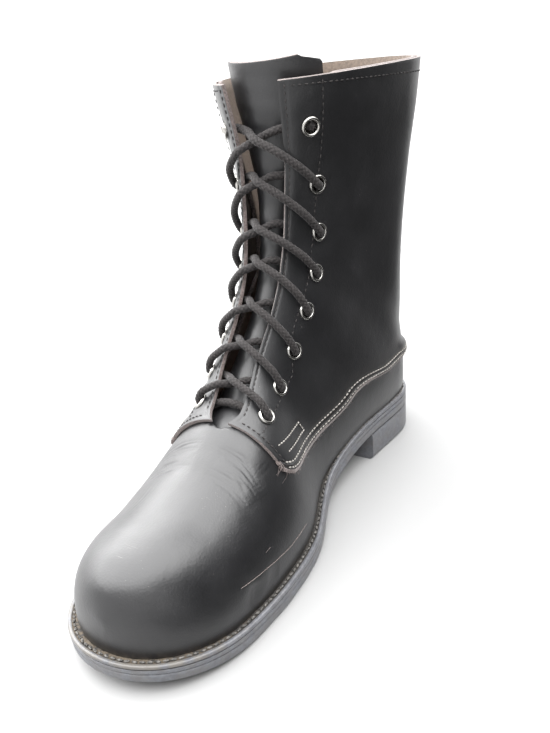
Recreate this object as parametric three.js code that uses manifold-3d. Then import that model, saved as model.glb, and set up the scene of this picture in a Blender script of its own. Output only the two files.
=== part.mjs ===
// A plain-toe derby combat boot for the right foot: welted rubber sole, hollow leather upper,
// two quarters with eight pairs of eyelets, a tongue and a round lace.
// Millimetres, +Z up, toe towards -Y, inner side of the foot towards +X, floor at z = 0.
// The origin is on the floor, under the middle of the heel.
import * as THREE from "three";
import { mergeVertices } from "three/addons/utils/BufferGeometryUtils.js";
import Module from "manifold-3d";

const wasm = await Module();
wasm.setup();

// Driving dimensions of the last and the sole.
const INNER = 1; // +X is the inner side of the foot; -1 makes the left boot
const LENGTH = 306; // sole, heel to toe
const BALL_WIDTH = 110; // sole across the ball
const HEEL_LENGTH = 76;
const HEEL_HEIGHT = 18;
const TOE_SPRING = 9;
const TREAD_FROM = 0.6; // flat of the forefoot, shares of the length from the heel
const TREAD_TO = 0.74;
const TOE_ROUND = 64; // length of the sole's rounded toe
const HEEL_ROUND = 38;
const OUTSOLE = 5.4; // thickness of each layer of the sole
const MIDSOLE = 2.4;
const WELT = 2.4;
const INSOLE = 3;
const WELT_SHOW = 6; // how far the sole stands out from the upper at the toe
const HEEL_SHOW = 3.5; // and at the heel
const EDGE_EASE = 0.6; // softened edges of the sole's layers

// Driving dimensions of the upper.
const WALL = 2.2;
const QUARTER = 2;
const BACKSTAY = 1.4;
const TONGUE = 2.4;
const TOE_HEIGHT = 50; // of the toe box above the sole
const SHAFT_RISE = 156; // from the toe box's height up to the collar's front
const BACK_HEIGHT = 196; // of the back above the sole
const BULGE = 3; // how far the upper swells over the welt
const BULGE_UP = 6; // within this height
const COLLAR_ROUND = 50; // roundness of the collar's back
const BACKSTAY_WIDTH = 20;

// Driving dimensions of the lacing.
const EYELET_PAIRS = 8;
const EYELET_PITCH = 20.5;
const EYELET_FIRST = 15; // along the facing from its lower end
const EYELET_RADIUS = 4.75;
const EYELET_HOLE = 3; // radius
const EYELET_BARREL = 0.5; // thickness of the ring's barrel
const EYELET_FLANGE = 0.9;
const EYELET_LIFT = 0.8; // of the flat flange over the curved facing
const EYELET_SET = 10; // from the facing's edge
const LACE_RADIUS = 2.1;
const LACE_ROOM = 6.8; // depth of the tongue's face under the upper's face

const CLEAR = 0.3; // gap between pieces that touch
const LAY = 0.45; // gap under an overlay, with room for its facets
const TUCK = 6; // how far the forms run on below the sole's top, to be cut off
const FAR = 400; // bigger than the boot, for cutters

// The sole's plan: distance from the heel as a share of LENGTH, half widths as shares of BALL_WIDTH.
const PLAN = [
  { along: 0.0, inner: 0.345, outer: 0.345 },
  { along: 0.12, inner: 0.355, outer: 0.36 },
  { along: 0.25, inner: 0.325, outer: 0.355 },
  { along: 0.42, inner: 0.315, outer: 0.385 },
  { along: 0.58, inner: 0.46, outer: 0.465 },
  { along: 0.7, inner: 0.5, outer: 0.49 },
  { along: 0.82, inner: 0.49, outer: 0.455 },
  { along: 1.0, inner: 0.49, outer: 0.41 },
];

// The line of the back: height as a share of BACK_HEIGHT, set-in as a share of the upper's length.
const BACK_LINE = [
  { up: 0.0, along: 0.0 },
  { up: 0.12, along: -0.005 },
  { up: 0.36, along: 0.022 },
  { up: 0.6, along: 0.026 },
  { up: 0.8, along: 0.014 },
  { up: 1.0, along: 0.0 },
];

// A fan of sections from the toe over the instep to the collar. Each runs from a foot, under the sole's
// top (path below 0, a share of the upper's length) or up the back (path above 0, a share of
// BACK_HEIGHT), to a ridge point: ridge is its distance along, toe and shaft its height as shares of
// TOE_HEIGHT and SHAFT_RISE. Girth widens the section, lean shifts its ridge to the inner side as a
// share of BALL_WIDTH, and crown squares its top.
const FAN = [
  { row: 0, path: -1.0, ridge: 1.0, toe: 0.3, shaft: 0.0, girth: 1.0, lean: 0.03, crown: 2.2 },
  { row: 1, path: -0.9966, ridge: 0.9966, toe: 0.5, shaft: 0.0, girth: 1.0, lean: 0.03, crown: 2.2 },
  { row: 2, path: -0.976, ridge: 0.977, toe: 0.76, shaft: 0.0, girth: 1.0, lean: 0.03, crown: 2.2 },
  { row: 3, path: -0.933, ridge: 0.936, toe: 0.94, shaft: 0.0, girth: 1.0, lean: 0.035, crown: 2.25 },
  { row: 4, path: -0.872, ridge: 0.876, toe: 1.02, shaft: 0.0, girth: 1.0, lean: 0.045, crown: 2.3 },
  { row: 5, path: -0.798, ridge: 0.803, toe: 1.04, shaft: 0.01, girth: 1.0, lean: 0.055, crown: 2.25 },
  { row: 6, path: -0.713, ridge: 0.723, toe: 1.04, shaft: 0.05, girth: 1.0, lean: 0.06, crown: 2.15 },
  { row: 7, path: -0.622, ridge: 0.649, toe: 1.02, shaft: 0.13, girth: 1.0, lean: 0.06, crown: 2.1 },
  { row: 8, path: -0.494, ridge: 0.568, toe: 1.0, shaft: 0.22, girth: 1.0, lean: 0.05, crown: 2.05 },
  { row: 9, path: -0.325, ridge: 0.501, toe: 1.0, shaft: 0.34, girth: 1.0, lean: 0.04, crown: 2.05 },
  { row: 10, path: -0.14, ridge: 0.454, toe: 1.0, shaft: 0.46, girth: 1.0, lean: 0.03, crown: 2.1 },
  { row: 11, path: -0.05, ridge: 0.434, toe: 1.0, shaft: 0.54, girth: 1.0, lean: 0.02, crown: 2.1 },
  { row: 12, path: 0.0, ridge: 0.42, toe: 1.0, shaft: 0.6, girth: 1.0, lean: 0.01, crown: 2.15 },
  { row: 13, path: 0.12, ridge: 0.405, toe: 1.0, shaft: 0.7, girth: 1.0, lean: 0.0, crown: 2.2 },
  { row: 14, path: 0.34, ridge: 0.396, toe: 1.0, shaft: 0.8, girth: 1.02, lean: 0.0, crown: 2.3 },
  { row: 15, path: 0.6, ridge: 0.396, toe: 1.0, shaft: 0.88, girth: 1.12, lean: 0.0, crown: 2.4 },
  { row: 16, path: 0.82, ridge: 0.402, toe: 1.0, shaft: 0.95, girth: 1.24, lean: 0.0, crown: 2.4 },
  { row: 17, path: 1.0, ridge: 0.408, toe: 1.0, shaft: 1.02, girth: 1.32, lean: 0.0, crown: 2.4 },
];
const COLLAR = 17; // the collar's row

// The throat: half the gap between the facings, row by row.
const THROAT = [
  { row: 7.1, half: 2 },
  { row: 7.25, half: 6 },
  { row: 7.5, half: 8.5 },
  { row: 9, half: 9 },
  { row: 12, half: 10.5 },
  { row: 17.5, half: 15 },
];
const THROAT_ROW = 7.1;
const SHELL_BACK = 16; // the shell stops this far behind the facing's edge

// A quarter's lower edge, as a share of the section from foot (0) to ridge (1).
const QUARTER_EDGE = [
  { row: 7.2, low: 0.5 },
  { row: 7.45, low: 0.42 },
  { row: 8.0, low: 0.34 },
  { row: 8.5, low: 0.27 },
  { row: 9.2, low: 0.22 },
  { row: 10, low: 0.26 },
  { row: 11, low: 0.28 },
  { row: 12, low: 0.25 },
  { row: 12.8, low: 0.125 },
  { row: 13.2, low: 0 },
];
const QUARTER_ROW = 7.2;
const BACK_ROW = 13.1; // from here up the quarters meet at the back
const SEAM_GAP = 0.5; // half the gap there

// The tongue: depth of its face under the upper's face and its half width, row by row.
const TONGUE_SHAPE = [
  { row: 6.6, deep: WALL + 3 * CLEAR, half: 16 },
  { row: 7.3, deep: WALL + 5 * CLEAR, half: 20 },
  { row: 8.0, deep: LACE_ROOM, half: 23 },
  { row: 12, deep: LACE_ROOM, half: 27 },
  { row: 17.6, deep: LACE_ROOM, half: 33 },
];

// How far the cutting bodies reach: out of and into the throat, and past the sole's two ends.
const THROAT_CUT = { out: 14, in: 45 };
const SOLE_CUT_BEYOND = 30;

const UPPER_LENGTH = LENGTH - HEEL_SHOW - WELT_SHOW;
const BREAST = HEEL_LENGTH / LENGTH;
const yAt = (along) => HEEL_LENGTH / 2 - along;
const clamp = (value, low, high) => Math.min(Math.max(value, low), high);
const ease = (value) => {
  const t = clamp(value, 0, 1);
  return t * t * (3 - 2 * t);
};

// A smooth curve through one column of a table.
function read(rows, column, key) {
  const first = Object.keys(rows[0])[0];
  const at = rows.map((row) => row[first]);
  const value = rows.map((row) => row[column]);
  const last = rows.length - 1;
  const k = clamp(key, at[0], at[last]);
  let i = 0;
  while (i < last - 1 && k >= at[i + 1]) i += 1;
  const slope = (j) => {
    const low = Math.max(j - 1, 0);
    const high = Math.min(j + 1, last);
    return (value[high] - value[low]) / (at[high] - at[low]);
  };
  const span = at[i + 1] - at[i];
  const t = (k - at[i]) / span;
  const ahead = t * t * (3 - 2 * t);
  return (
    (1 - ahead) * value[i] +
    ahead * value[i + 1] +
    (t * t * t - 2 * t * t + t) * span * slope(i) +
    (t * t * t - t * t) * span * slope(i + 1)
  );
}

// How an outline closes at its end: 0 at the end, 1 from a distance of reach on.
function closing(distance, reach, power = 2) {
  const t = clamp(distance / reach, 0, 1);
  return (1 - (1 - t) ** power) ** (1 / power);
}

// Heights of the sole at a distance from the heel's back.
function soleBottom(along) {
  const share = along / LENGTH;
  const toe = Math.max(share - TREAD_TO, 0) / (1 - TREAD_TO);
  const arch = ease((TREAD_FROM - share) / (TREAD_FROM - BREAST));
  return TOE_SPRING * toe * toe + HEEL_HEIGHT * arch;
}
const midsoleBottom = (along) => soleBottom(along) + OUTSOLE + CLEAR;
const soleTop = (along) => midsoleBottom(along) + MIDSOLE;

// The sole's edges at turn 0 (heel) to 1 (toe), set in by some distance all round.
function soleEdges(turn, inset) {
  const along = inset + (LENGTH - 2 * inset) * turn;
  const share = along / LENGTH;
  const end =
    closing(along - inset, HEEL_ROUND - inset) *
    closing(LENGTH - inset - along, TOE_ROUND - inset, 2.1);
  const inner = read(PLAN, "inner", share) * BALL_WIDTH - inset;
  const outer = read(PLAN, "outer", share) * BALL_WIDTH - inset;
  const centre = (inner - outer) / 2;
  const half = ((inner + outer) / 2) * end;
  return { along, inner: centre + half, outer: centre - half };
}

// A point of the upper's face: row along the fan, across from foot (0) to ridge (1), side 1 or -1.
function facePoint(row, across, side) {
  const over = Math.max(row - COLLAR, 0);
  if (over > 0) {
    const top = facePoint(COLLAR, across, side);
    const under = facePoint(COLLAR - 0.1, across, side);
    return top.clone().addScaledVector(top.clone().sub(under), over / 0.1);
  }
  const at = (column) => read(FAN, column, row);
  const path = at("path");
  const up = Math.max(path, 0);
  const ridgeAlong = HEEL_SHOW + at("ridge") * UPPER_LENGTH;
  const ridgeUp = soleTop(ridgeAlong) + at("toe") * TOE_HEIGHT + at("shaft") * SHAFT_RISE;
  const footLift = up * BACK_HEIGHT - TUCK * (1 - ease(up / 0.05));
  const backShare = clamp(footLift / BACK_HEIGHT, 0, 1);
  const footAlong = HEEL_SHOW + (path <= 0 ? -path : read(BACK_LINE, "along", backShare)) * UPPER_LENGTH;
  const footUp = soleTop(footAlong) + footLift;
  const closed = ease((path + 0.25) / 0.3);
  const open = Math.sin((across * Math.PI) / 2);
  const t = (1 - closed) * open + (closed * (1 - Math.cos(across * Math.PI))) / 2;
  const along = footAlong + t * (ridgeAlong - footAlong);
  const height = footUp + t * (ridgeUp - footUp);
  const lift = height - soleTop(along);
  const share = clamp(lift / BACK_HEIGHT, 0, 1);
  const backAlong = HEEL_SHOW + read(BACK_LINE, "along", share) * UPPER_LENGTH;
  const soleShare = footAlong / LENGTH;
  const show = HEEL_SHOW + (WELT_SHOW - HEEL_SHOW) * ease((soleShare - 0.25) / 0.4);
  const innerEdge = read(PLAN, "inner", soleShare) * BALL_WIDTH;
  const outerEdge = read(PLAN, "outer", soleShare) * BALL_WIDTH;
  const swell = BULGE * (1 - Math.exp(-Math.max(lift, 0) / BULGE_UP));
  const half = ((innerEdge + outerEdge) / 2 - show) * at("girth") + swell;
  const backReach = HEEL_ROUND - HEEL_SHOW + (COLLAR_ROUND - HEEL_ROUND) * share;
  const round =
    closing(Math.max(along - backAlong, 0), backReach) *
    closing(Math.max(HEEL_SHOW + UPPER_LENGTH - along, 0), TOE_ROUND - WELT_SHOW, 2.1) *
    Math.max(1 - t ** at("crown"), 0) ** (1 / at("crown"));
  const centre = ((innerEdge - outerEdge) / 2) * (1 - ease(up * 4)) + at("lean") * BALL_WIDTH * t * t;
  return new THREE.Vector3(centre + side * half * round, yAt(along), height);
}

// The face's outward direction, and a point at some distance outside it (inside when negative).
function faceNormal(row, across, side) {
  const step = 0.004;
  const a = clamp(across, step, 1 - step);
  const r = clamp(row, step, COLLAR + 2);
  const alongFan = facePoint(r + step, a, side).sub(facePoint(r - step, a, side));
  const alongRow = facePoint(r, a + step, side).sub(facePoint(r, a - step, side));
  return alongRow.cross(alongFan).multiplyScalar(-side).normalize();
}
function offFace(row, across, side, distance) {
  const normal = faceNormal(row, across, side);
  if (across < 0.004 && read(FAN, "path", row) > -0.003) normal.x = 0;
  if (across > 0.996) normal.add(faceNormal(row, across, -side));
  if (row < 0.004) normal.add(faceNormal(row, across, -side));
  return facePoint(row, across, side).addScaledVector(normal.normalize(), distance);
}

// The share across a row at which the face lies at a distance (in x) from the ridge, or from the back.
function acrossFromRidge(row, side, distance) {
  const ridge = facePoint(row, 1, side).x;
  let low = 0.3;
  let high = 1;
  for (let i = 0; i < 30; i += 1) {
    const middle = (low + high) / 2;
    if (Math.abs(facePoint(row, middle, side).x - ridge) > distance) low = middle;
    else high = middle;
  }
  return (low + high) / 2;
}
function acrossFromBack(row, side, distance) {
  let low = 0;
  let high = 0.5;
  for (let i = 0; i < 30; i += 1) {
    const middle = (low + high) / 2;
    if (Math.abs(facePoint(row, middle, side).x) < distance) low = middle;
    else high = middle;
  }
  return (low + high) / 2;
}

// Closed solids. A loft joins loops of equal length; its ends are closed across, pair by pair.
function toSolid(positions, index) {
  const geometry = new THREE.BufferGeometry();
  geometry.setAttribute("position", new THREE.Float32BufferAttribute(positions, 3));
  geometry.setIndex(index);
  const merged = mergeVertices(geometry, 1e-3);
  const triangles = [];
  const from = merged.index.array;
  for (let i = 0; i < from.length; i += 3) {
    const [a, b, c] = [from[i], from[i + 1], from[i + 2]];
    if (a !== b && b !== c && c !== a) triangles.push(a, b, c);
  }
  const p = merged.attributes.position.array;
  let volume = 0;
  for (let i = 0; i < triangles.length; i += 3) {
    const [a, b, c] = [0, 1, 2].map((k) => new THREE.Vector3().fromArray(p, 3 * triangles[i + k]));
    volume += a.dot(b.cross(c));
  }
  if (volume < 0) triangles.reverse();
  const mesh = new wasm.Mesh({
    numProp: 3,
    vertProperties: new Float32Array(p),
    triVerts: new Uint32Array(triangles),
  });
  return new wasm.Manifold(mesh);
}
function loft(loops) {
  const size = loops[0].length;
  const positions = loops.flat().flatMap((point) => [INNER * point.x, point.y, point.z]);
  const index = [];
  for (let i = 0; i + 1 < loops.length; i += 1) {
    for (let j = 0; j < size; j += 1) {
      const a = i * size + j;
      const b = i * size + ((j + 1) % size);
      index.push(a, b, b + size, a, b + size, a + size);
    }
  }
  for (const start of [0, (loops.length - 1) * size]) {
    for (let j = 0; j < size / 2 - 1; j += 1) {
      const [a, b, c, d] = [j, j + 1, size - 2 - j, size - 1 - j].map((k) => start + k);
      if (start === 0) index.push(a, c, b, a, d, c);
      else index.push(a, b, c, a, c, d);
    }
  }
  return toSolid(positions, index);
}
function fromGeometry(geometry, matrix) {
  geometry.deleteAttribute("normal");
  geometry.deleteAttribute("uv");
  const flat = geometry.index ? geometry : mergeVertices(geometry, 1e-3);
  if (matrix) flat.applyMatrix4(matrix);
  return toSolid([...flat.attributes.position.array], [...flat.index.array]);
}

const turns = (count) => Array.from({ length: count + 1 }, (_, i) => i / count);
const between = (low, high, count) => turns(count).map((t) => low + (high - low) * t);

// A form is the last's face moved out by some distance, closed underneath and over the collar.
const TOE_ROWS = [0, 0.6, 1.2, 1.8, 2.4, 3.1, 4, 5, 6, THROAT_ROW];
const INSTEP_ROWS = [QUARTER_ROW, 7.45, 7.9, 8.4, 9, 9.8, 10.6, 11.3, 12];
const SHAFT_ROWS = [12.4, 12.8, 13.2, 13.9, 14.9, 16, COLLAR];
const FACE_ROWS = [...TOE_ROWS, ...INSTEP_ROWS, ...SHAFT_ROWS];
const FACE_COLUMNS = turns(8);
function form(distance, over = 0) {
  const rows = over > 0 ? [...FACE_ROWS, COLLAR + over] : FACE_ROWS;
  return loft(
    rows.map((row) => [
      ...FACE_COLUMNS.map((across) => offFace(row, across, -1, distance)),
      ...FACE_COLUMNS.slice(0, -1)
        .reverse()
        .map((across) => offFace(row, across, 1, distance)),
    ]),
  );
}

// A panel follows the face between two distances, from low to high across each row.
function panel(rows, side, low, high, inside, outside) {
  return loft(
    rows.map((row) => {
      const columns = FACE_COLUMNS.map((across) => clamp(across, low(row), high(row)));
      columns[columns.length - 1] = high(row);
      const outer = columns.map((across) => offFace(row, across, side, outside));
      const inner = columns.map((across) => offFace(row, across, side, inside));
      return side > 0 ? [...outer, ...inner.reverse()] : [...inner, ...outer.reverse()];
    }),
  );
}

// A layer of the sole between two heights, with levels from its underside up: how far each level is
// set in from the sole's edge, and its share of the layer's height.
const EASED = [
  { share: 0, inset: EDGE_EASE },
  { share: 0.25, inset: 0 },
  { share: 0.75, inset: 0 },
  { share: 1, inset: EDGE_EASE },
];
function layer(low, high, levels, from = 0, to = 1, count = 28) {
  const stations = turns(count).map((t) => from + (to - from) * (1 - Math.cos(Math.PI * t)) * 0.5);
  return loft(
    stations.map((turn) => {
      const point = (level, edge) => {
        const edges = soleEdges(turn, level.inset);
        const bottom = low(edges.along);
        const height = bottom + level.share * (high(edges.along) - bottom);
        return new THREE.Vector3(edges[edge], yAt(edges.along), height);
      };
      const inner = levels.map((level) => point(level, "inner"));
      const outer = levels.map((level) => point(level, "outer"));
      return [...inner, ...outer.reverse()];
    }),
  );
}

// Everything below a height that follows the sole, for cutting the upper off at the sole.
function belowSole(lift) {
  return loft(
    between(-SOLE_CUT_BEYOND, LENGTH + SOLE_CUT_BEYOND, 48).map((along) => {
      const top = soleTop(along) + lift;
      return [
        new THREE.Vector3(FAR, yAt(along), -FAR),
        new THREE.Vector3(FAR, yAt(along), top),
        new THREE.Vector3(-FAR, yAt(along), top),
        new THREE.Vector3(-FAR, yAt(along), -FAR),
      ];
    }),
  );
}

// The throat's cutter follows the ridge; extra widens it on both sides.
function throatCutter(extra) {
  const rows = [THROAT_ROW, 7.17, 7.25, 7.4, ...between(7.6, COLLAR + 1, 16)];
  return loft(
    rows.map((row) => {
      const ridge = facePoint(row, 1, 1);
      const foot = facePoint(row, 0, 1);
      const inward = new THREE.Vector3(0, foot.y - ridge.y, foot.z - ridge.z).normalize();
      const shellBack = extra * ease((row - THROAT_ROW) / 0.5);
      const half = read(THROAT, "half", row) + shellBack;
      const corner = (x, depth) => {
        const point = ridge.clone().addScaledVector(inward, depth);
        return point.setX(ridge.x + x);
      };
      return [
        corner(half, -THROAT_CUT.out),
        corner(half, THROAT_CUT.in),
        corner(-half, THROAT_CUT.in),
        corner(-half, -THROAT_CUT.out),
      ];
    }),
  );
}

// Tread: chevron grooves that stop short of the edge, so that the side of the sole stays whole.
function grooves(solid, from, to, pitch, depth, sweep) {
  const width = 3;
  const rim = 9;
  let result = solid;
  for (let along = from; along <= to; along += pitch) {
    const edges = soleEdges(along / LENGTH, 0);
    const inner = edges.inner - rim;
    const outer = edges.outer + rim;
    const middle = (inner + outer) / 2;
    const y = yAt(along);
    const shape = new THREE.Shape([
      new THREE.Vector2(INNER * outer, y + sweep),
      new THREE.Vector2(INNER * middle, y),
      new THREE.Vector2(INNER * inner, y + sweep),
      new THREE.Vector2(INNER * inner, y + sweep + width),
      new THREE.Vector2(INNER * middle, y + width),
      new THREE.Vector2(INNER * outer, y + sweep + width),
    ]);
    const bar = new THREE.ExtrudeGeometry(shape, { depth: FAR, bevelEnabled: false });
    const top = (along < HEEL_LENGTH ? 0 : soleBottom(along)) + depth;
    result = result.subtract(fromGeometry(bar, new THREE.Matrix4().makeTranslation(0, 0, top - FAR)));
  }
  return result;
}

// Materials, one for each kind of piece.
const looks = {
  leather: { color: 0x2b2b2e, roughness: 0.38, metalness: 0 },
  lining: { color: 0x3a3532, roughness: 0.9, metalness: 0 },
  weltLeather: { color: 0x2c2825, roughness: 0.7, metalness: 0 },
  rubber: { color: 0x55565a, roughness: 0.6, metalness: 0 },
  insole: { color: 0x6b5a48, roughness: 0.85, metalness: 0 },
  lace: { color: 0x242426, roughness: 0.9, metalness: 0 },
  nickel: { color: 0xc9c9cc, roughness: 0.25, metalness: 1 },
};
const boot = new THREE.Group();
function add(name, solid, look) {
  const mesh = solid.getMesh();
  const geometry = new THREE.BufferGeometry();
  geometry.setAttribute("position", new THREE.BufferAttribute(mesh.vertProperties, 3));
  geometry.setIndex(new THREE.BufferAttribute(mesh.triVerts, 1));
  geometry.computeVertexNormals();
  const piece = new THREE.Mesh(geometry, new THREE.MeshStandardMaterial(looks[look]));
  piece.name = name;
  boot.add(piece);
}

// Sole.
const OUTSOLE_LEVELS = [
  { share: 0, inset: 2.2 },
  { share: 0.3, inset: 0.2 },
  { share: 0.9, inset: 0 },
  { share: 1, inset: EDGE_EASE },
];
const outsole = layer(soleBottom, (along) => soleBottom(along) + OUTSOLE, OUTSOLE_LEVELS);
add("outsole", grooves(outsole, 0.64 * LENGTH, 0.94 * LENGTH, 11, 2.2, 9), "rubber");
const HEEL_LEVELS = [
  { share: 0, inset: 2.4 },
  { share: 0.1, inset: 1 },
  { share: 0.95, inset: 0 },
  { share: 1, inset: EDGE_EASE },
];
const heelTop = (along) => soleBottom(along) - CLEAR;
const heel = layer(() => 0, heelTop, HEEL_LEVELS, 0, BREAST, 14);
add("heel", grooves(heel, 0.3 * HEEL_LENGTH, 0.82 * HEEL_LENGTH, 13, 2.2, 5), "rubber");
add("midsole", layer(midsoleBottom, soleTop, EASED), "rubber");
const weltBottom = (along) => soleTop(along) + CLEAR;
const weltTop = (along) => weltBottom(along) + WELT;
const weltSheet = layer(weltBottom, weltTop, EASED);
add("welt", weltSheet.subtract(form(CLEAR)), "weltLeather");

// Upper, one hollow shell.
const inside = form(-WALL, 0.3);
const shell = form(0).subtract(inside).subtract(belowSole(CLEAR)).subtract(throatCutter(SHELL_BACK));
add("upper", shell, "leather");
const insoleTop = (along) => weltBottom(along) + INSOLE;
const insoleSheet = layer(weltBottom, insoleTop, [{ share: 0, inset: 0 }, { share: 1, inset: 0 }]);
add("insole", insoleSheet.intersect(form(-WALL - 3 * CLEAR)), "insole");

// Quarters, with their facings along the throat.
const quarterRows = FACE_ROWS.filter((row) => row >= QUARTER_ROW);
const facingEdge = (side) => (row) => acrossFromRidge(row, side, read(THROAT, "half", row));
const eyeletHoles = (frames) =>
  frames.map((frame) => {
    const radius = EYELET_HOLE + EYELET_BARREL + CLEAR;
    const pin = new THREE.CylinderGeometry(radius, radius, 14, 8);
    return fromGeometry(pin, frame);
  });

// Eyelets stand on a line beside the facing's edge, at equal steps along it.
function eyeletRows() {
  const rows = between(QUARTER_ROW, COLLAR, 400);
  const spots = [];
  let walked = 0;
  let last = null;
  for (const row of rows) {
    const here = facePoint(row, facingEdge(1)(row), 1);
    if (last) walked += here.distanceTo(last);
    last = here;
    if (spots.length < EYELET_PAIRS && walked >= EYELET_FIRST + spots.length * EYELET_PITCH) {
      spots.push(row);
    }
  }
  return spots;
}
const eyeletAcross = (row, side) =>
  acrossFromRidge(row, side, read(THROAT, "half", row) + EYELET_SET);
function eyeletFrame(row, side) {
  const across = eyeletAcross(row, side);
  const point = offFace(row, across, side, LAY + QUARTER);
  const normal = faceNormal(row, across, side);
  point.x *= INNER;
  normal.x *= INNER;
  const turn = new THREE.Quaternion().setFromUnitVectors(new THREE.Vector3(0, 1, 0), normal);
  return new THREE.Matrix4().compose(point, turn, new THREE.Vector3(1, 1, 1));
}
const spots = eyeletRows();
for (const [name, side] of [["inner", 1], ["outer", -1]]) {
  const low = (row) => {
    const edge = read(QUARTER_EDGE, "low", row);
    return row < BACK_ROW ? edge : acrossFromBack(row, side, SEAM_GAP);
  };
  let quarter = panel(quarterRows, side, low, facingEdge(side), LAY, LAY + QUARTER);
  for (const hole of eyeletHoles(spots.map((row) => eyeletFrame(row, side)))) {
    quarter = quarter.subtract(hole);
  }
  add(`quarter_${name}`, quarter, "leather");
}

// Backstay over the quarters' back seam.
const stayInside = LAY + QUARTER + CLEAR;
const stayRows = FACE_ROWS.filter((row) => row > 13);
const stay = loft(
  stayRows.map((row) => {
    const reach = [1, 0.5].map((share) => (share * BACKSTAY_WIDTH) / 2);
    const loop = (distance) => [
      ...reach.map((x) => offFace(row, acrossFromBack(row, -1, x), -1, distance)),
      offFace(row, 0, 1, distance),
      ...[...reach].reverse().map((x) => offFace(row, acrossFromBack(row, 1, x), 1, distance)),
    ];
    return [...loop(stayInside + BACKSTAY), ...loop(stayInside).reverse()];
  }),
);
add("backstay", stay, "leather");

// Tongue, lying under the facings with room for the lace.
const tongueRows = [6.6, 6.9, 7.2, 7.6, 8, ...FACE_ROWS.filter((row) => row > 8.2), COLLAR + 0.6];
const tongue = loft(
  tongueRows.map((row) => {
    const deep = read(TONGUE_SHAPE, "deep", row);
    const half = read(TONGUE_SHAPE, "half", row);
    const across = (side, share) => acrossFromRidge(row, side, half * share);
    const loop = (distance) => [
      ...[1, 0.7, 0.35].map((share) => offFace(row, across(-1, share), -1, distance)),
      offFace(row, 1, 1, distance),
      ...[0.35, 0.7, 1].map((share) => offFace(row, across(1, share), 1, distance)),
    ];
    return [...loop(-deep), ...loop(-deep - TONGUE).reverse()];
  }),
);
add("tongue", tongue, "lining");

// Eyelets: a rolled flange on the facing and a barrel through it.
const barrel = EYELET_HOLE + EYELET_BARREL;
const EYELET_PROFILE = [
  [EYELET_HOLE, -QUARTER],
  [barrel, -QUARTER],
  [barrel, EYELET_LIFT],
  [EYELET_RADIUS, EYELET_LIFT],
  [EYELET_HOLE, EYELET_LIFT + EYELET_FLANGE],
  [EYELET_HOLE, -QUARTER],
].map(([r, h]) => new THREE.Vector2(r, h));
for (const [name, side] of [["inner", 1], ["outer", -1]]) {
  spots.forEach((row, i) => {
    const ring = new THREE.LatheGeometry(EYELET_PROFILE, 8);
    add(`eyelet_${name}_${i + 1}`, fromGeometry(ring, eyeletFrame(row, side)), "nickel");
  });
}

// Lace: out of each eyelet, over its facing's edge, under the other facing to the next eyelet.
const overRing = LAY + QUARTER + EYELET_LIFT + EYELET_FLANGE + CLEAR + LACE_RADIUS;
const overEdge = LAY + QUARTER + 2 * CLEAR + LACE_RADIUS;
const underFacing = -LACE_RADIUS - CLEAR;
function tube(points) {
  const curve = new THREE.CatmullRomCurve3(points.map((p) => p.clone().setX(INNER * p.x)));
  const section = new THREE.Shape();
  for (let i = 0; i < 8; i += 1) {
    const angle = (i * Math.PI) / 4;
    const [x, y] = [LACE_RADIUS * Math.cos(angle), LACE_RADIUS * Math.sin(angle)];
    if (i === 0) section.moveTo(x, y);
    else section.lineTo(x, y);
  }
  section.closePath();
  const settings = { steps: points.length, extrudePath: curve, bevelEnabled: false };
  return fromGeometry(new THREE.ExtrudeGeometry(section, settings));
}
// A point of the lace: t runs from the eyelet on one side (0) to the next one on the other side (1).
function lacePoint(i, side, t, distance) {
  const row = spots[i] + (spots[i + 1] - spots[i]) * t;
  const from = read(THROAT, "half", row) + EYELET_SET;
  const x = from * (1 - 2 * t);
  const near = x >= 0 ? side : -side;
  return offFace(row, acrossFromRidge(row, near, Math.abs(x)), near, distance);
}
function crossing(i, side) {
  return tube([
    lacePoint(i, side, 0.0, overRing),
    lacePoint(i, side, 0.14, overRing),
    lacePoint(i, side, 0.3, overEdge),
    lacePoint(i, side, 0.5, 0.2),
    lacePoint(i, side, 0.7, underFacing),
    lacePoint(i, side, 1.0, underFacing),
  ]);
}
for (let i = 0; i + 1 < EYELET_PAIRS; i += 1) {
  add(`lace_cross_${i + 1}`, crossing(i, 1).add(crossing(i, -1)), "lace");
}
const barRow = spots[0] - 0.02;
const barReach = read(THROAT, "half", barRow) + EYELET_SET;
const bar = [-1, -0.5, 0, 0.5, 1].map((share) => {
  const side = share >= 0 ? 1 : -1;
  const across = acrossFromRidge(barRow, side, Math.abs(share) * barReach);
  return offFace(barRow, across, side, underFacing);
});
add("lace_bar", tube(bar), "lace");

export default boot;
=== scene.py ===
# A worn plain-toe derby combat boot for the right foot: black leather quarters on a plain vamp,
# a dusty stitched welt on a grey-black rubber sole, nickel eyelets and a round braided lace.
# Lengths are in millimetres until a mesh is written. The toe points to -Y, the inner side is +X.
import math
import random
from functools import lru_cache

import bmesh
import bpy
from mathutils import Matrix, Vector


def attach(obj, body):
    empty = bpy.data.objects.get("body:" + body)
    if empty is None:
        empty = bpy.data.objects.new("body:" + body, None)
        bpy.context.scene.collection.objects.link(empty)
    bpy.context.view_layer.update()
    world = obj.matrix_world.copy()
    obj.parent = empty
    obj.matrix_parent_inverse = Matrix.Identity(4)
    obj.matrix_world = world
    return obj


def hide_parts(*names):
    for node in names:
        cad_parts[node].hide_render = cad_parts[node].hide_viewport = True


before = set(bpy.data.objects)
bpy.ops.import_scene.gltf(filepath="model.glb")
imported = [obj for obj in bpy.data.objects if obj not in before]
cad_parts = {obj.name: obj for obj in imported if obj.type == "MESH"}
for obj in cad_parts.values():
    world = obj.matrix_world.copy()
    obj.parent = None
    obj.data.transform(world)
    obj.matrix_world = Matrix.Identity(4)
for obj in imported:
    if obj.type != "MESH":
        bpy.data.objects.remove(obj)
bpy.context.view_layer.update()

MM = 0.001
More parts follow.
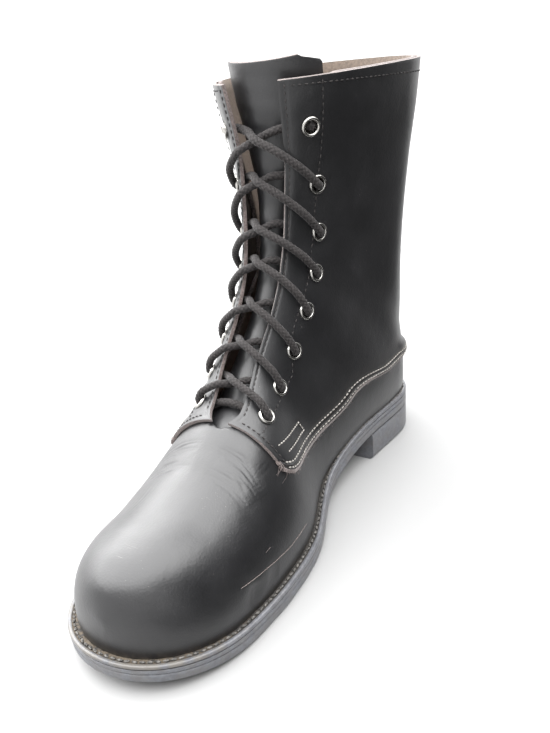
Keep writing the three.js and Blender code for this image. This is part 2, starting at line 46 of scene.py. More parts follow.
random.seed(7)

# Driving dimensions of the last and the sole.
LENGTH = 306
BALL_WIDTH = 110
HEEL_LENGTH = 76
HEEL_HEIGHT = 18
TOE_SPRING = 9
TREAD_FROM = 0.6
TREAD_TO = 0.74
TOE_ROUND = 64
HEEL_ROUND = 38
OUTSOLE = 5.4
MIDSOLE = 2.4
WELT = 2.4
INSOLE = 3
WELT_SHOW = 6
HEEL_SHOW = 3.5

# Driving dimensions of the upper.
WALL = 2.2
QUARTER = 2
BACKSTAY = 1.4
TONGUE = 2.4
TOE_HEIGHT = 50
SHAFT_RISE = 156
BACK_HEIGHT = 196
BULGE = 3
BULGE_UP = 6
COLLAR_ROUND = 50
BACKSTAY_WIDTH = 20

# Driving dimensions of the lacing.
EYELET_PAIRS = 8
EYELET_PITCH = 20.5
EYELET_FIRST = 15
EYELET_RADIUS = 4.75
EYELET_HOLE = 3
EYELET_BARREL = 0.5
EYELET_SET = 10
LACE_RADIUS = 2.1
LACE_ROOM = 6.8

CLEAR = 0.3
LAY = 0.45
TUCK = 6

# The sole's plan, the line of the back and the fan of sections, as shares of the sizes above.
PLAN = {
    "along": (0.0, 0.12, 0.25, 0.42, 0.58, 0.7, 0.82, 1.0),
    "inner": (0.345, 0.355, 0.325, 0.315, 0.46, 0.5, 0.49, 0.49),
    "outer": (0.345, 0.36, 0.355, 0.385, 0.465, 0.49, 0.455, 0.41),
}
BACK_LINE = {
    "up": (0.0, 0.12, 0.36, 0.6, 0.8, 1.0),
    "along": (0.0, -0.005, 0.022, 0.026, 0.014, 0.0),
}
FAN = {
    "row": tuple(range(18)),
    "path": (-1.0, -0.9966, -0.976, -0.933, -0.872, -0.798, -0.713, -0.622, -0.494, -0.325, -0.14, -0.05,
             0.0, 0.12, 0.34, 0.6, 0.82, 1.0),
    "ridge": (1.0, 0.9966, 0.977, 0.936, 0.876, 0.803, 0.723, 0.649, 0.568, 0.501, 0.454, 0.434,
              0.42, 0.405, 0.396, 0.396, 0.402, 0.408),
    "toe": (0.3, 0.5, 0.76, 0.94, 1.02, 1.04, 1.04, 1.02, 1.0, 1.0, 1.0, 1.0, 1.0, 1.0, 1.0, 1.0, 1.0, 1.0),
    "shaft": (0.0, 0.0, 0.0, 0.0, 0.0, 0.01, 0.05, 0.13, 0.22, 0.34, 0.46, 0.54,
              0.6, 0.7, 0.8, 0.88, 0.95, 1.02),
    "girth": (1.0, 1.0, 1.0, 1.0, 1.0, 1.0, 1.0, 1.0, 1.0, 1.0, 1.0, 1.0, 1.0, 1.0, 1.02, 1.12, 1.24, 1.32),
    "lean": (0.03, 0.03, 0.03, 0.035, 0.045, 0.055, 0.06, 0.06, 0.05, 0.04, 0.03, 0.02,
             0.01, 0.0, 0.0, 0.0, 0.0, 0.0),
    "crown": (2.2, 2.2, 2.2, 2.25, 2.3, 2.25, 2.15, 2.1, 2.05, 2.05, 2.1, 2.1,
              2.15, 2.2, 2.3, 2.4, 2.4, 2.4),
}
COLLAR = 17
THROAT = {"row": (7.1, 7.25, 7.5, 9, 12, 17.5), "half": (2, 6, 8.5, 9, 10.5, 15)}
THROAT_ROW = 7.1
SHELL_BACK = 16
QUARTER_EDGE = {
    "row": (7.2, 7.45, 8.0, 8.5, 9.2, 10, 11, 12, 12.8, 13.2),
    "low": (0.5, 0.42, 0.34, 0.27, 0.22, 0.26, 0.28, 0.25, 0.125, 0),
}
QUARTER_ROW = 7.2
BACK_ROW = 13.1
HEEL_HEM_FROM = -20
ROW_AT_FRONT = 26  # millimetres in one row, at the quarter's front edge
SEAM_GAP = 0.5
TONGUE_SHAPE = {
    "row": (6.6, 7.3, 8.0, 12, 17.6),
    "deep": (WALL + 3 * CLEAR, WALL + 5 * CLEAR, LACE_ROOM, LACE_ROOM, LACE_ROOM),
    "half": (16, 20, 23, 27, 33),
}

UPPER_LENGTH = LENGTH - HEEL_SHOW - WELT_SHOW
BREAST = HEEL_LENGTH / LENGTH
SIDES = {"inner": 1, "outer": -1}


def y_at(along):
    return HEEL_LENGTH / 2 - along


def clamp(value, low, high):
    return min(max(value, low), high)


def ease(value):
    t = clamp(value, 0, 1)
    return t * t * (3 - 2 * t)


def mix(a, b, t):
    return a + (b - a) * t


def read(table, column, key):
    """A smooth curve through one column of a table."""
    at = next(iter(table.values()))
    value = table[column]
    last = len(at) - 1
    k = clamp(key, at[0], at[last])
    i = 0
    while i < last - 1 and k >= at[i + 1]:
        i += 1

    def slope(j):
        low, high = max(j - 1, 0), min(j + 1, last)
        return (value[high] - value[low]) / (at[high] - at[low])

    span = at[i + 1] - at[i]
    t = (k - at[i]) / span
    ahead = t * t * (3 - 2 * t)
    leave = (t * t * t - 2 * t * t + t) * span * slope(i)
    arrive = (t * t * t - t * t) * span * slope(i + 1)
    return mix(value[i], value[i + 1], ahead) + leave + arrive


def closing(distance, reach, power=2.0):
    t = clamp(distance / reach, 0, 1)
    return (1 - (1 - t) ** power) ** (1 / power)


def sole_bottom(along):
    share = along / LENGTH
    toe = max(share - TREAD_TO, 0) / (1 - TREAD_TO)
    arch = ease((TREAD_FROM - share) / (TREAD_FROM - BREAST))
    return TOE_SPRING * toe * toe + HEEL_HEIGHT * arch


def midsole_bottom(along):
    return sole_bottom(along) + OUTSOLE + CLEAR


def sole_top(along):
    return midsole_bottom(along) + MIDSOLE


def welt_bottom(along):
    return sole_top(along) + CLEAR


def sole_edge(turn, side, inset):
    """A point of the sole's outline, set in by some distance: distance from the heel, and x."""
    along = inset + (LENGTH - 2 * inset) * turn
    share = along / LENGTH
    end = closing(along - inset, HEEL_ROUND - inset)
    end *= closing(LENGTH - inset - along, TOE_ROUND - inset, 2.1)
    inner = read(PLAN, "inner", share) * BALL_WIDTH - inset
    outer = read(PLAN, "outer", share) * BALL_WIDTH - inset
    return along, (inner - outer) / 2 + side * (inner + outer) / 2 * end


@lru_cache(maxsize=None)
def section(row):
    """What a row of the fan fixes for all of its points."""
    at = {column: read(FAN, column, row) for column in FAN}
    up = max(at["path"], 0)
    at["up"] = up
    at["ridge_along"] = HEEL_SHOW + at["ridge"] * UPPER_LENGTH
    at["ridge_up"] = sole_top(at["ridge_along"]) + at["toe"] * TOE_HEIGHT + at["shaft"] * SHAFT_RISE
    foot_lift = up * BACK_HEIGHT - TUCK * (1 - ease(up / 0.05))
    back_share = clamp(foot_lift / BACK_HEIGHT, 0, 1)
    back = -at["path"] if at["path"] <= 0 else read(BACK_LINE, "along", back_share)
    at["foot_along"] = HEEL_SHOW + back * UPPER_LENGTH
    at["foot_up"] = sole_top(at["foot_along"]) + foot_lift
    at["closed"] = ease((at["path"] + 0.25) / 0.3)
    share = at["foot_along"] / LENGTH
    show = mix(HEEL_SHOW, WELT_SHOW, ease((share - 0.25) / 0.4))
    inner = read(PLAN, "inner", share) * BALL_WIDTH
    outer = read(PLAN, "outer", share) * BALL_WIDTH
    at["half"] = ((inner + outer) / 2 - show) * at["girth"]
    at["centre"] = (inner - outer) / 2 * (1 - ease(up * 4))
    return at


def face(row, across, side):
    """A point of the upper's face: across runs from the foot (0) to the ridge (1)."""
    if row > COLLAR:
        top = face(COLLAR, across, side)
        return top + (top - face(COLLAR - 0.1, across, side)) * (row - COLLAR) / 0.1
    at = section(row)
    t = mix(math.sin(across * math.pi / 2), (1 - math.cos(across * math.pi)) / 2, at["closed"])
    along = mix(at["foot_along"], at["ridge_along"], t)
    height = mix(at["foot_up"], at["ridge_up"], t)
    lift = height - sole_top(along)
    share = clamp(lift / BACK_HEIGHT, 0, 1)
    back_along = HEEL_SHOW + read(BACK_LINE, "along", share) * UPPER_LENGTH
    half = at["half"] + BULGE * (1 - math.exp(-max(lift, 0) / BULGE_UP))
    back_reach = HEEL_ROUND - HEEL_SHOW + (COLLAR_ROUND - HEEL_ROUND) * share
    crown = at["crown"]
    shut = closing(max(along - back_along, 0), back_reach)
    shut *= closing(max(HEEL_SHOW + UPPER_LENGTH - along, 0), TOE_ROUND - WELT_SHOW, 2.1)
    shut *= max(1 - t ** crown, 0) ** (1 / crown)
    x = at["centre"] + at["lean"] * BALL_WIDTH * t * t + side * half * shut
    return Vector((x, y_at(along), height))


def face_normal(row, across, side):
    step = 0.004
    a = clamp(across, step, 1 - step)
    r = clamp(row, step, COLLAR + 2)
    along_fan = face(r + step, a, side) - face(r - step, a, side)
    along_row = face(r, a + step, side) - face(r, a - step, side)
    return (along_row.cross(along_fan) * -side).normalized()


def off_face(row, across, side, distance):
    normal = face_normal(row, across, side)
    if across < 0.004 and section(min(row, COLLAR))["path"] > -0.003:
        normal.x = 0
    if across > 0.996 or row < 0.004:
        normal = normal + face_normal(row, across, -side)
    return face(row, across, side) + normal.normalized() * distance


def across_from_ridge(row, side, distance):
    ridge = face(row, 1, side).x
    low, high = 0.3, 1.0
    for _ in range(24):
        middle = (low + high) / 2
        if abs(face(row, middle, side).x - ridge) > distance:
            low = middle
        else:
            high = middle
    return (low + high) / 2


def across_from_back(row, side, distance):
    low, high = 0.0, 0.5
    for _ in range(24):
        middle = (low + high) / 2
        if abs(face(row, middle, side).x) < distance:
            low = middle
        else:
            high = middle
    return (low + high) / 2


@lru_cache(maxsize=None)
def facing(row, side):
    return across_from_ridge(row, side, read(THROAT, "half", row))


@lru_cache(maxsize=None)
def heel_hem_row(side):
    """The row where the hem, coming from the toe, passes HEEL_HEM_FROM."""
    row = QUARTER_ROW + 2
    while face(row, read(QUARTER_EDGE, "low", row), side).y < HEEL_HEM_FROM:
        row += 0.05
    return row


@lru_cache(maxsize=None)
def quarter_low(row, side):
    """Where the quarter's lower edge crosses a row: round the heel it runs straight to the back seam."""
    if row >= BACK_ROW:
        return across_from_back(row, side, SEAM_GAP)
    start = heel_hem_row(side)
    if row <= start:
        return read(QUARTER_EDGE, "low", row)
    front = face(start, read(QUARTER_EDGE, "low", start), side)
    back = face(BACK_ROW, across_from_back(BACK_ROW, side, SEAM_GAP), side)
    low, high = 0.0, 0.5
    for _ in range(24):
        middle = (low + high) / 2
        point = face(row, middle, side)
        if point.z < mix(front.z, back.z, (point.y - front.y) / (back.y - front.y)):
            low = middle
        else:
            high = middle
    return (low + high) / 2


# Materials: colours as they look on a screen, patterns by their real size.
def colour(code):
    channels = [int(code[i:i + 2], 16) / 255 for i in (0, 2, 4)]
    linear = [c / 12.92 if c <= 0.04045 else ((c + 0.055) / 1.055) ** 2.4 for c in channels]
    return (*linear, 1.0)


def per(size_mm):
    """The texture scale whose pattern repeats about every size_mm."""
    return 1 / (size_mm * MM)


def node(tree, kind, inputs=None, **settings):
    made = tree.nodes.new(kind)
    for key, value in settings.items():
        setattr(made, key, value)
    for key, value in (inputs or {}).items():
        if isinstance(value, bpy.types.NodeSocket):
            tree.links.new(value, made.inputs[key])
        else:
            made.inputs[key].default_value = value
    return made


def material(name, **shader_inputs):
    made = bpy.data.materials.new(name)
    made.use_nodes = True
    tree = made.node_tree
    shader = tree.nodes["Principled BSDF"]
    for key, value in shader_inputs.items():
        shader.inputs[key.replace("_", " ")].default_value = value
    return made, tree, shader


def ramp(tree, value, low, high):
    """0 below low, 1 above high."""
    return node(tree, "ShaderNodeMapRange", {"Value": value, "From Min": low, "From Max": high},
                interpolation_type="SMOOTHSTEP").outputs["Result"]


def blend(tree, amount, first, second):
    made = node(tree, "ShaderNodeMix", {0: amount, 6: first, 7: second}, data_type="RGBA")
    return made.outputs[2]


def calc(tree, operation, first, second=0.0):
    return node(tree, "ShaderNodeMath", {0: first, 1: second}, operation=operation).outputs[0]


def noise(tree, where, size_mm, detail=3.0, rough=0.55):
    inputs = {"Vector": where, "Scale": per(size_mm), "Detail": detail, "Roughness": rough}
    return node(tree, "ShaderNodeTexNoise", inputs).outputs["Fac"]


def stretched(tree, where, turn, scale):
    return node(tree, "ShaderNodeMapping", {"Vector": where, "Rotation": turn, "Scale": scale}).outputs[0]


def box_calf(name, base, worn, roughness, scratches):
    """Chrome-tanned full-grain calf, dyed through and polished: black, with a broad soft gloss, a fine
    pebble grain, hairline scratches that show grey, and a brown dusting low down."""
    made, tree, shader = material(name, Specular_IOR_Level=0.55, Coat_Weight=0.35, Coat_Roughness=0.34)
    where = node(tree, "ShaderNodeTexCoord").outputs["Object"]
    pebbles = node(tree, "ShaderNodeTexVoronoi", {"Vector": where, "Scale": per(1.1)}, feature="F1")
    grain = pebbles.outputs[0]
    cloud = noise(tree, where, 26, 4)
    fine = noise(tree, where, 2.2, 4, 0.65)
    lines = None
    for turn, seed in ((0.5, 0.0), (-0.7, 3.1), (1.4, 5.7)):
        along = stretched(tree, where, (seed, 0.3, turn), (45, 1500, 1500))
        hair = node(tree, "ShaderNodeTexNoise",
                    {"Vector": along, "Scale": 1.0, "Detail": 1.0}).outputs["Fac"]
        line = ramp(tree, hair, 0.76, 0.80)
        lines = line if lines is None else calc(tree, "MAXIMUM", lines, line)
    lines = calc(tree, "MULTIPLY", lines, ramp(tree, cloud, 0.5, 0.66))
    cells = node(tree, "ShaderNodeTexVoronoi", {"Vector": where, "Scale": per(5)}, feature="F1")
    speck = ramp(tree, cells.outputs["Distance"], 0.06, 0.03)
    chosen = node(tree, "ShaderNodeSeparateColor", {0: cells.outputs["Color"]}).outputs[0]
    speck = calc(tree, "MULTIPLY", speck, ramp(tree, chosen, 0.66, 0.68))
    speck = calc(tree, "MULTIPLY", speck, ramp(tree, cloud, 0.5, 0.58))
    marks = calc(tree, "MULTIPLY", calc(tree, "MAXIMUM", lines, speck), scratches)
    dusty = node(tree, "ShaderNodeAttribute", attribute_name="dust_and_braid_shade").outputs["Fac"]
    dusty = calc(tree, "MULTIPLY", dusty, ramp(tree, fine, 0.35, 0.7))
    tint = blend(tree, ramp(tree, cloud, 0.35, 0.75), colour(base), colour(worn))
    tint = blend(tree, marks, tint, colour("5a5754"))
    tint = blend(tree, dusty, tint, colour("4a4137"))
    tree.links.new(tint, shader.inputs["Base Color"])
    gloss = calc(tree, "MULTIPLY_ADD", cloud, 0.16)
    gloss.node.inputs[2].default_value = roughness - 0.08
    rough = calc(tree, "ADD", gloss, calc(tree, "MULTIPLY", dusty, 0.35))
    tree.links.new(rough, shader.inputs["Roughness"])
    swell = noise(tree, where, 15, 2)
    height = calc(tree, "ADD", calc(tree, "MULTIPLY", grain, 0.14), calc(tree, "MULTIPLY", fine, 0.16))
    height = calc(tree, "ADD", height, calc(tree, "MULTIPLY", swell, 0.9))
    height = calc(tree, "SUBTRACT", height, calc(tree, "MULTIPLY", marks, 0.12))
    bump = node(tree, "ShaderNodeBump", {"Height": height, "Strength": 0.6, "Distance": 0.6 * MM})
    tree.links.new(bump.outputs[0], shader.inputs["Normal"])
    return made


def flecked(name, first, second, size_mm, roughness, depth_mm, fleck=None, sheen=0.0):
    """A matt surface mottled between two colours at one scale, with a relief of the same pattern."""
    made, tree, shader = material(name, Roughness=roughness, Sheen_Weight=sheen)
    where = node(tree, "ShaderNodeTexCoord").outputs["Object"]
    coarse = noise(tree, where, size_mm, 5, 0.65)
    tint = blend(tree, ramp(tree, coarse, 0.35, 0.68), colour(first), colour(second))
    if fleck:
        dusty = node(tree, "ShaderNodeAttribute", attribute_name="dust_and_braid_shade").outputs["Fac"]
        patches = calc(tree, "MULTIPLY", dusty, ramp(tree, noise(tree, where, size_mm * 3, 5), 0.38, 0.6))
        tint = blend(tree, patches, tint, colour(fleck))
    tree.links.new(tint, shader.inputs["Base Color"])
    bump = node(tree, "ShaderNodeBump", {"Height": coarse, "Strength": 0.8, "Distance": depth_mm * MM})
    tree.links.new(bump.outputs[0], shader.inputs["Normal"])
    return made


def braided_polyester(name):
    """A braid of dark polyester yarn: matt, with a slight sheen on each yarn, and painted shade in its
    colour: darker in the gaps between yarns, lighter on their crowns.
    """
    made, tree, shader = material(name, Roughness=0.8, Specular_IOR_Level=0.3,
                                  Sheen_Weight=0.12, Sheen_Roughness=0.4)
    where = node(tree, "ShaderNodeTexCoord").outputs["Object"]
    fibre = noise(tree, where, 0.5, 3)
    # Painted shade: the vertex attribute holds the braid's height here, and the yarn colour darkens from
    # each crown down into the gaps between yarns.
    high = node(tree, "ShaderNodeAttribute", attribute_name="dust_and_braid_shade").outputs["Fac"]
    tint = blend(tree, high, colour("050505"), colour("2d2a2a"))
    tint = blend(tree, ramp(tree, fibre, 0.55, 0.9), tint, colour("6a6462"))
    tree.links.new(tint, shader.inputs["Base Color"])
    bump = node(tree, "ShaderNodeBump", {"Height": fibre, "Strength": 0.5, "Distance": 0.15 * MM})
    tree.links.new(bump.outputs[0], shader.inputs["Normal"])
    return made


def nickel_plate(name):
    """Nickel-plated brass, stamped and tumbled: bright, with a faint satin and dull spots."""
    made, tree, shader = material(name, Metallic=1.0, Base_Color=colour("b4b2ae"))
    where = node(tree, "ShaderNodeTexCoord").outputs["Object"]
    dull = noise(tree, where, 1.4, 4)
    tree.links.new(calc(tree, "MULTIPLY_ADD", dull, 0.3), shader.inputs["Roughness"])
    shader.inputs["Roughness"].links[0].from_node.inputs[2].default_value = 0.08
    return made


CALF = box_calf("black_box_calf", "0e0e10", "161618", 0.43, 0.8)
SUEDE_EDGE = flecked("raw_cut_leather_edge", "4b4240", "746966", 0.9, 0.95, 0.3, sheen=0.2)
SOFT_CALF = box_calf("soft_tongue_calf", "111113", "19191b", 0.5, 0.2)
LINING = flecked("lining_leather", "4a4038", "5c5046", 1.6, 0.85, 0.15)
WELT_LEATHER = flecked("waxed_welt_leather", "1b1a19", "34312f", 1.1, 0.75, 0.5, fleck="544b3f")
RUBBER = flecked("moulded_rubber", "515256", "606267", 3.0, 0.42, 0.06, fleck="5b5855")
WELT_RIM = flecked("trimmed_welt_edge", "4e4f53", "626367", 2.5, 0.33, 0.08, fleck="5d5a56")
THREAD_LIGHT = flecked("waxed_linen_thread", "6a6763", "a19d98", 0.8, 0.8, 0.1)
THREAD_WELT = flecked("worn_welt_thread", "2b2a29", "6d6a66", 1.4, 0.85, 0.2, fleck="554c40")
THREAD_DARK = flecked("waxed_black_thread", "1a1919", "35302f", 0.8, 0.8, 0.1)
SCRAPE = flecked("scraped_leather", "6f6461", "8f8581", 0.8, 0.8, 0.05)
INSOLE_LEATHER = flecked("insole_leather", "6b5845", "7d6953", 2.0, 0.85, 0.1)
BRAID = braided_polyester("braided_polyester")
NICKEL = nickel_plate("nickel_plate")


# Meshes.
def sheet(place, u_count, v_count, dust_and_braid_shade=None, wrap=False, away=None):
    """A bmesh grid laid over place(u, v), both 0 to 1, and turned to face away from a point."""
    bm = bmesh.new()
    for key in ("dust_and_braid_shade", "u", "v"):
        bm.verts.layers.float.new(key)
    layer, u_layer, v_layer = (bm.verts.layers.float[key] for key in ("dust_and_braid_shade", "u", "v"))
    bmesh.ops.create_grid(bm, x_segments=u_count, y_segments=v_count, size=0.5)
    for vert in bm.verts:
        u, v = vert.co.x + 0.5, vert.co.y + 0.5
        vert[u_layer], vert[v_layer] = u, v
        vert.co = place(u, v)
        if dust_and_braid_shade:
            vert[layer] = dust_and_braid_shade(u, v, vert.co)
    if wrap:
        bmesh.ops.remove_doubles(bm, verts=bm.verts, dist=0.004)
    bm.normal_update()
    if away is None:
        bmesh.ops.recalc_face_normals(bm, faces=bm.faces)
    else:
        outward = sum(1 if f.normal.dot(f.calc_center_median() - Vector(away)) > 0 else -1
                      for f in bm.faces)
        if outward < 0:
            bmesh.ops.reverse_faces(bm, faces=bm.faces)
    return bm


def ease_out(bm, weight, rounds):
    """Relax the sheet inside its edges, as far as weight(u, v) says."""
    u, v = bm.verts.layers.float["u"], bm.verts.layers.float["v"]
    before = [vert.co.copy() for vert in bm.verts]
    inside = [vert for vert in bm.verts if not vert.is_boundary]
    for _ in range(rounds):
        bmesh.ops.smooth_vert(bm, verts=inside, factor=0.5,
                              use_axis_x=True, use_axis_y=True, use_axis_z=True)
    for vert, old in zip(bm.verts, before):
        vert.co = old.lerp(vert.co, weight(vert[u], vert[v]))


def trim_rim(bm, rounds=6):
    """Smooth the steps that a cut through the grid leaves along its rim."""
    rim = [vert for vert in bm.verts if vert.is_boundary]
    for _ in range(rounds):
        goal = {}
        for vert in rim:
            ends = [edge.other_vert(vert).co for edge in vert.link_edges if edge.is_boundary]
            if len(ends) == 2:
                goal[vert] = vert.co.lerp((ends[0] + ends[1]) / 2, 0.5)
        for vert, place in goal.items():
            vert.co = place


def spot(bm, item):
    """Where a face lies in its sheet."""
    u, v = bm.verts.layers.float["u"], bm.verts.layers.float["v"]
    count = len(item.verts)
    return sum(vert[u] for vert in item.verts) / count, sum(vert[v] for vert in item.verts) / count


def as_object(name, bm):
    """Put a bmesh into the scene."""
    mesh = bpy.data.meshes.new(name)
    bm.to_mesh(mesh)
    bm.free()
    made = bpy.data.objects.new(name, mesh)
    bpy.context.collection.objects.link(made)
    return made


def spun(outline, steps, merge, closed=False):
    """A bmesh spun round the upright axis from its half section."""
    bm = bmesh.new()
    verts = [bm.verts.new((r, 0, z)) for r, z in outline]
    following = verts[1:] + verts[:1] if closed else verts[1:]
    edges = [bm.edges.new(pair) for pair in zip(verts, following)]
    bmesh.ops.spin(bm, geom=verts + edges, axis=(0, 0, 1), cent=(0, 0, 0), steps=steps,
                   angle=2 * math.pi, use_merge=True)
    bmesh.ops.remove_doubles(bm, verts=bm.verts, dist=merge)
    return bm


def piece(name, bm, materials, nodes=(), sharp=math.radians(38)):
    """Write a bmesh in millimetres as a finished object riding on the boot."""
    for key in ("u", "v"):
        if key in bm.verts.layers.float:
            bm.verts.layers.float.remove(bm.verts.layers.float[key])
    for edge in bm.edges:
        if len(edge.link_faces) == 2 and edge.calc_face_angle(0) > sharp:
            edge.smooth = False
    for item in bm.faces:
        item.smooth = True
    bmesh.ops.scale(bm, vec=(MM, MM, MM), verts=bm.verts)
    made = as_object(name, bm)
    for one in materials:
        made.data.materials.append(one)
    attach(made, "root")
    if nodes:
        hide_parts(*nodes)
    return made


def thicken(made, thickness_mm, rim=0, inner=0, rounded_mm=0.0):
    """Give a sheet its wall, inwards from its face, with a softened edge."""
    wall = made.modifiers.new("wall", "SOLIDIFY")
    wall.thickness = thickness_mm * MM
    wall.offset = -1
    wall.material_offset = inner
    wall.material_offset_rim = rim
    wall.use_even_offset = False
    if rounded_mm:
        soft = made.modifiers.new("softened_edge", "BEVEL")
        soft.width = rounded_mm * MM
        soft.segments = 2
        soft.limit_method = "ANGLE"
        soft.angle_limit = math.radians(50)
        soft.harden_normals = False


# Relief of the leather, in millimetres: soft troughs (and ridges, when negative) along short lines.
class Fold:
    def __init__(self, line, depth, width):
        steps = 9
        self.points = []
        for (row_a, across_a, side), (row_b, across_b, _) in zip(line, line[1:]):
            for k in range(steps):
                t = k / steps
                self.points.append(face(mix(row_a, row_b, t), mix(across_a, across_b, t), side))
        self.points.append(face(*line[-1]))
        self.depth = depth
        self.width = width
        self.centre = sum(self.points, Vector()) / len(self.points)
        self.reach = max((p - self.centre).length for p in self.points) + 3 * width

    def at(self, point):
        if (point - self.centre).length > self.reach:
            return 0.0
        best, where = 1e9, 0
        for i, p in enumerate(self.points):
            gap = (point - p).length_squared
            if gap < best:
                best, where = gap, i
        for i in (where - 1, where):
            if 0 <= i < len(self.points) - 1:
                a, b = self.points[i], self.points[i + 1]
                span = b - a
                t = clamp((point - a).dot(span) / max(span.length_squared, 1e-9), 0, 1)
                gap = (point - (a + span * t)).length_squared
                if gap < best:
                    best = gap
        share = where / max(len(self.points) - 1, 1)
        taper = math.sin(math.pi * clamp(share, 0.04, 0.96)) ** 0.7
        return -self.depth * taper * math.exp(-best / (self.width * self.width))


def flex_folds():
    """The creases where the foot bends, two bundles on the inner side and plainer ones outside."""
    folds = [
        Fold([(6.1, 0.97, 1), (6.06, 0.8, 1), (5.95, 0.56, 1), (5.8, 0.4, 1)], 0.75, 6.5),
        Fold([(6.36, 0.95, 1), (6.3, 0.75, 1), (6.2, 0.55, 1)], -0.7, 6.5),
        Fold([(6.62, 0.96, 1), (6.58, 0.78, 1), (6.45, 0.55, 1)], 0.7, 5.5),
        Fold([(6.95, 0.85, 1), (6.9, 0.6, 1)], -0.5, 7.0),
        Fold([(6.15, 0.97, -1), (6.1, 0.8, -1), (6.0, 0.5, -1)], 0.7, 6.0),
        Fold([(6.6, 0.96, -1), (6.55, 0.75, -1), (6.45, 0.5, -1)], 0.7, 5.5),
        Fold([(5.15, 0.27, 1), (5.0, 0.12, 1)], 1.5, 5.0),
        Fold([(5.5, 0.2, 1), (5.9, 0.16, 1)], 0.8, 6.0),
        Fold([(5.2, 0.8, -1), (5.3, 0.45, -1)], 0.6, 9.0),
    ]
    bundles = (
        (5.98, 7, 0.05, 0.95, 0.55, 1),
        (6.52, 7, 0.045, 0.96, 0.58, 1),
        (6.26, 4, 0.06, 0.85, 0.6, 1),
        (6.0, 6, 0.055, 0.93, 0.55, -1),
        (6.5, 6, 0.055, 0.94, 0.58, -1),
    )
    for first, count, pitch, high, low, side in bundles:
        for k in range(count):
            row = first + k * pitch
            sway = random.uniform(-0.02, 0.02)
            start = high - random.uniform(0, 0.14)
            end = low + random.uniform(-0.03, 0.12)
            line = [(row + sway, start, side), (row - 0.02 + sway, (start + end) / 2, side),
                    (row - 0.12 - sway, end, side)]
            folds.append(Fold(line, random.uniform(0.16, 0.3), random.uniform(0.55, 0.8)))
    return folds


FOLDS = flex_folds()


def low_dust(point, reach):
    """Dust that lies thickest next to the welt."""
    lift = point.z - sole_top(y_at(0) - point.y)
    return clamp(1 - lift / reach, 0, 1) ** 2


# Upper: the vamp and the shell under the quarters, one sheet with its lining.
def denser(values):
    """A monotone map from 0..1 to rows, through evenly spaced values."""
    last = len(values) - 1

    def rows(u):
        k = clamp(u, 0, 1) * last
        i = min(int(k), last - 1)
        return mix(values[i], values[i + 1], k - i)

    return rows


SHELL_ROWS = denser([0, 0.5, 1.1, 1.8, 2.6, 3.4, 4.1, 4.8, 5.3, 5.7, 5.9, 6.05, 6.2, 6.35, 6.5, 6.65, 6.8,
                     7.1, 7.6, 8.6, 10, 11.6, 12.6, 13.4, 14.6, 17])
SHELL_STEPS = 25 * 8


def shell_place(u, v):
    row = SHELL_ROWS(u)
    side = 1 if v > 0.5 else -1
    across = 1 - abs(2 * v - 1)
    point = off_face(row, across, side, 0)
    if row > 7.6:
        return point
    relief = sum(fold.at(point) for fold in FOLDS)
    if abs(relief) < 1e-4:
        return point
    return point + face_normal(row, across, side) * relief


def build_upper():
    bm = sheet(shell_place, SHELL_STEPS, 200, dust_and_braid_shade=lambda u, v, p: 0.9 * low_dust(p, 9),
               away=(0, -70, 60))
    gone = []
    for item in bm.faces:
        middle = item.calc_center_median()
        if middle.z < sole_top(y_at(0) - middle.y) - 1.5:
            gone.append(item)
            continue
        u, v = spot(bm, item)
        row, across = SHELL_ROWS(u), 1 - abs(2 * v - 1)
        if row > THROAT_ROW and across > 0.4:
            back = SHELL_BACK * ease((row - THROAT_ROW) / 0.5)
            if abs(middle.x - face(row, 1, 1).x) < read(THROAT, "half", row) + back:
                gone.append(item)
    bmesh.ops.delete(bm, geom=gone, context="FACES")
    bmesh.ops.remove_doubles(bm, verts=bm.verts, dist=0.01)
    trim_rim(bm)
    made = piece("upper_shell", bm, [CALF, LINING, SUEDE_EDGE], ["upper"])
    thicken(made, WALL, rim=2, inner=1)


# Quarters, with a stitched hem low down and a facing along the throat.
HEM_ROWS = (3.0, 6.2)
FACE_STITCH = 3.0


@lru_cache(maxsize=None)
def row_length(row, side):
    middle = face(row, 0.5, side)
    return (face(row, 1, side) - middle).length + (middle - face(row, 0, side)).length


def quarter_rows(u):
    t = 0.75 * u + 0.25 * u * u
    return mix(QUARTER_ROW, COLLAR, t)


def quarter_point(u, v, side):
    row = quarter_rows(u)
    low, high = quarter_low(row, side), facing(row, side)
    return row, mix(low, high, v)


RAW_BEVEL = 2.0


def hem_relief(from_low, from_front):
    """Stitch lines pull the hem in, the leather rises between them, and its cut edge is bevelled."""
    relief = -1.0 * (1 - ease(from_low / RAW_BEVEL))
    for at in HEM_ROWS:
        relief -= 0.3 * math.exp(-((from_low - at) / 0.7) ** 2)
    middle = sum(HEM_ROWS) / 2
    relief += 0.35 * math.exp(-((from_low - middle) / 1.1) ** 2)
    relief -= 0.25 * math.exp(-((from_front - FACE_STITCH) / 0.8) ** 2)
    return relief


def from_edges(row, across, side):
    """Distances from the quarter's lower edge, which ends at the back seam, and from its facing."""
    length = row_length(row, side)
    from_low = (across - quarter_low(row, side)) * length if row < BACK_ROW else 99
    return from_low, (facing(row, side) - across) * length


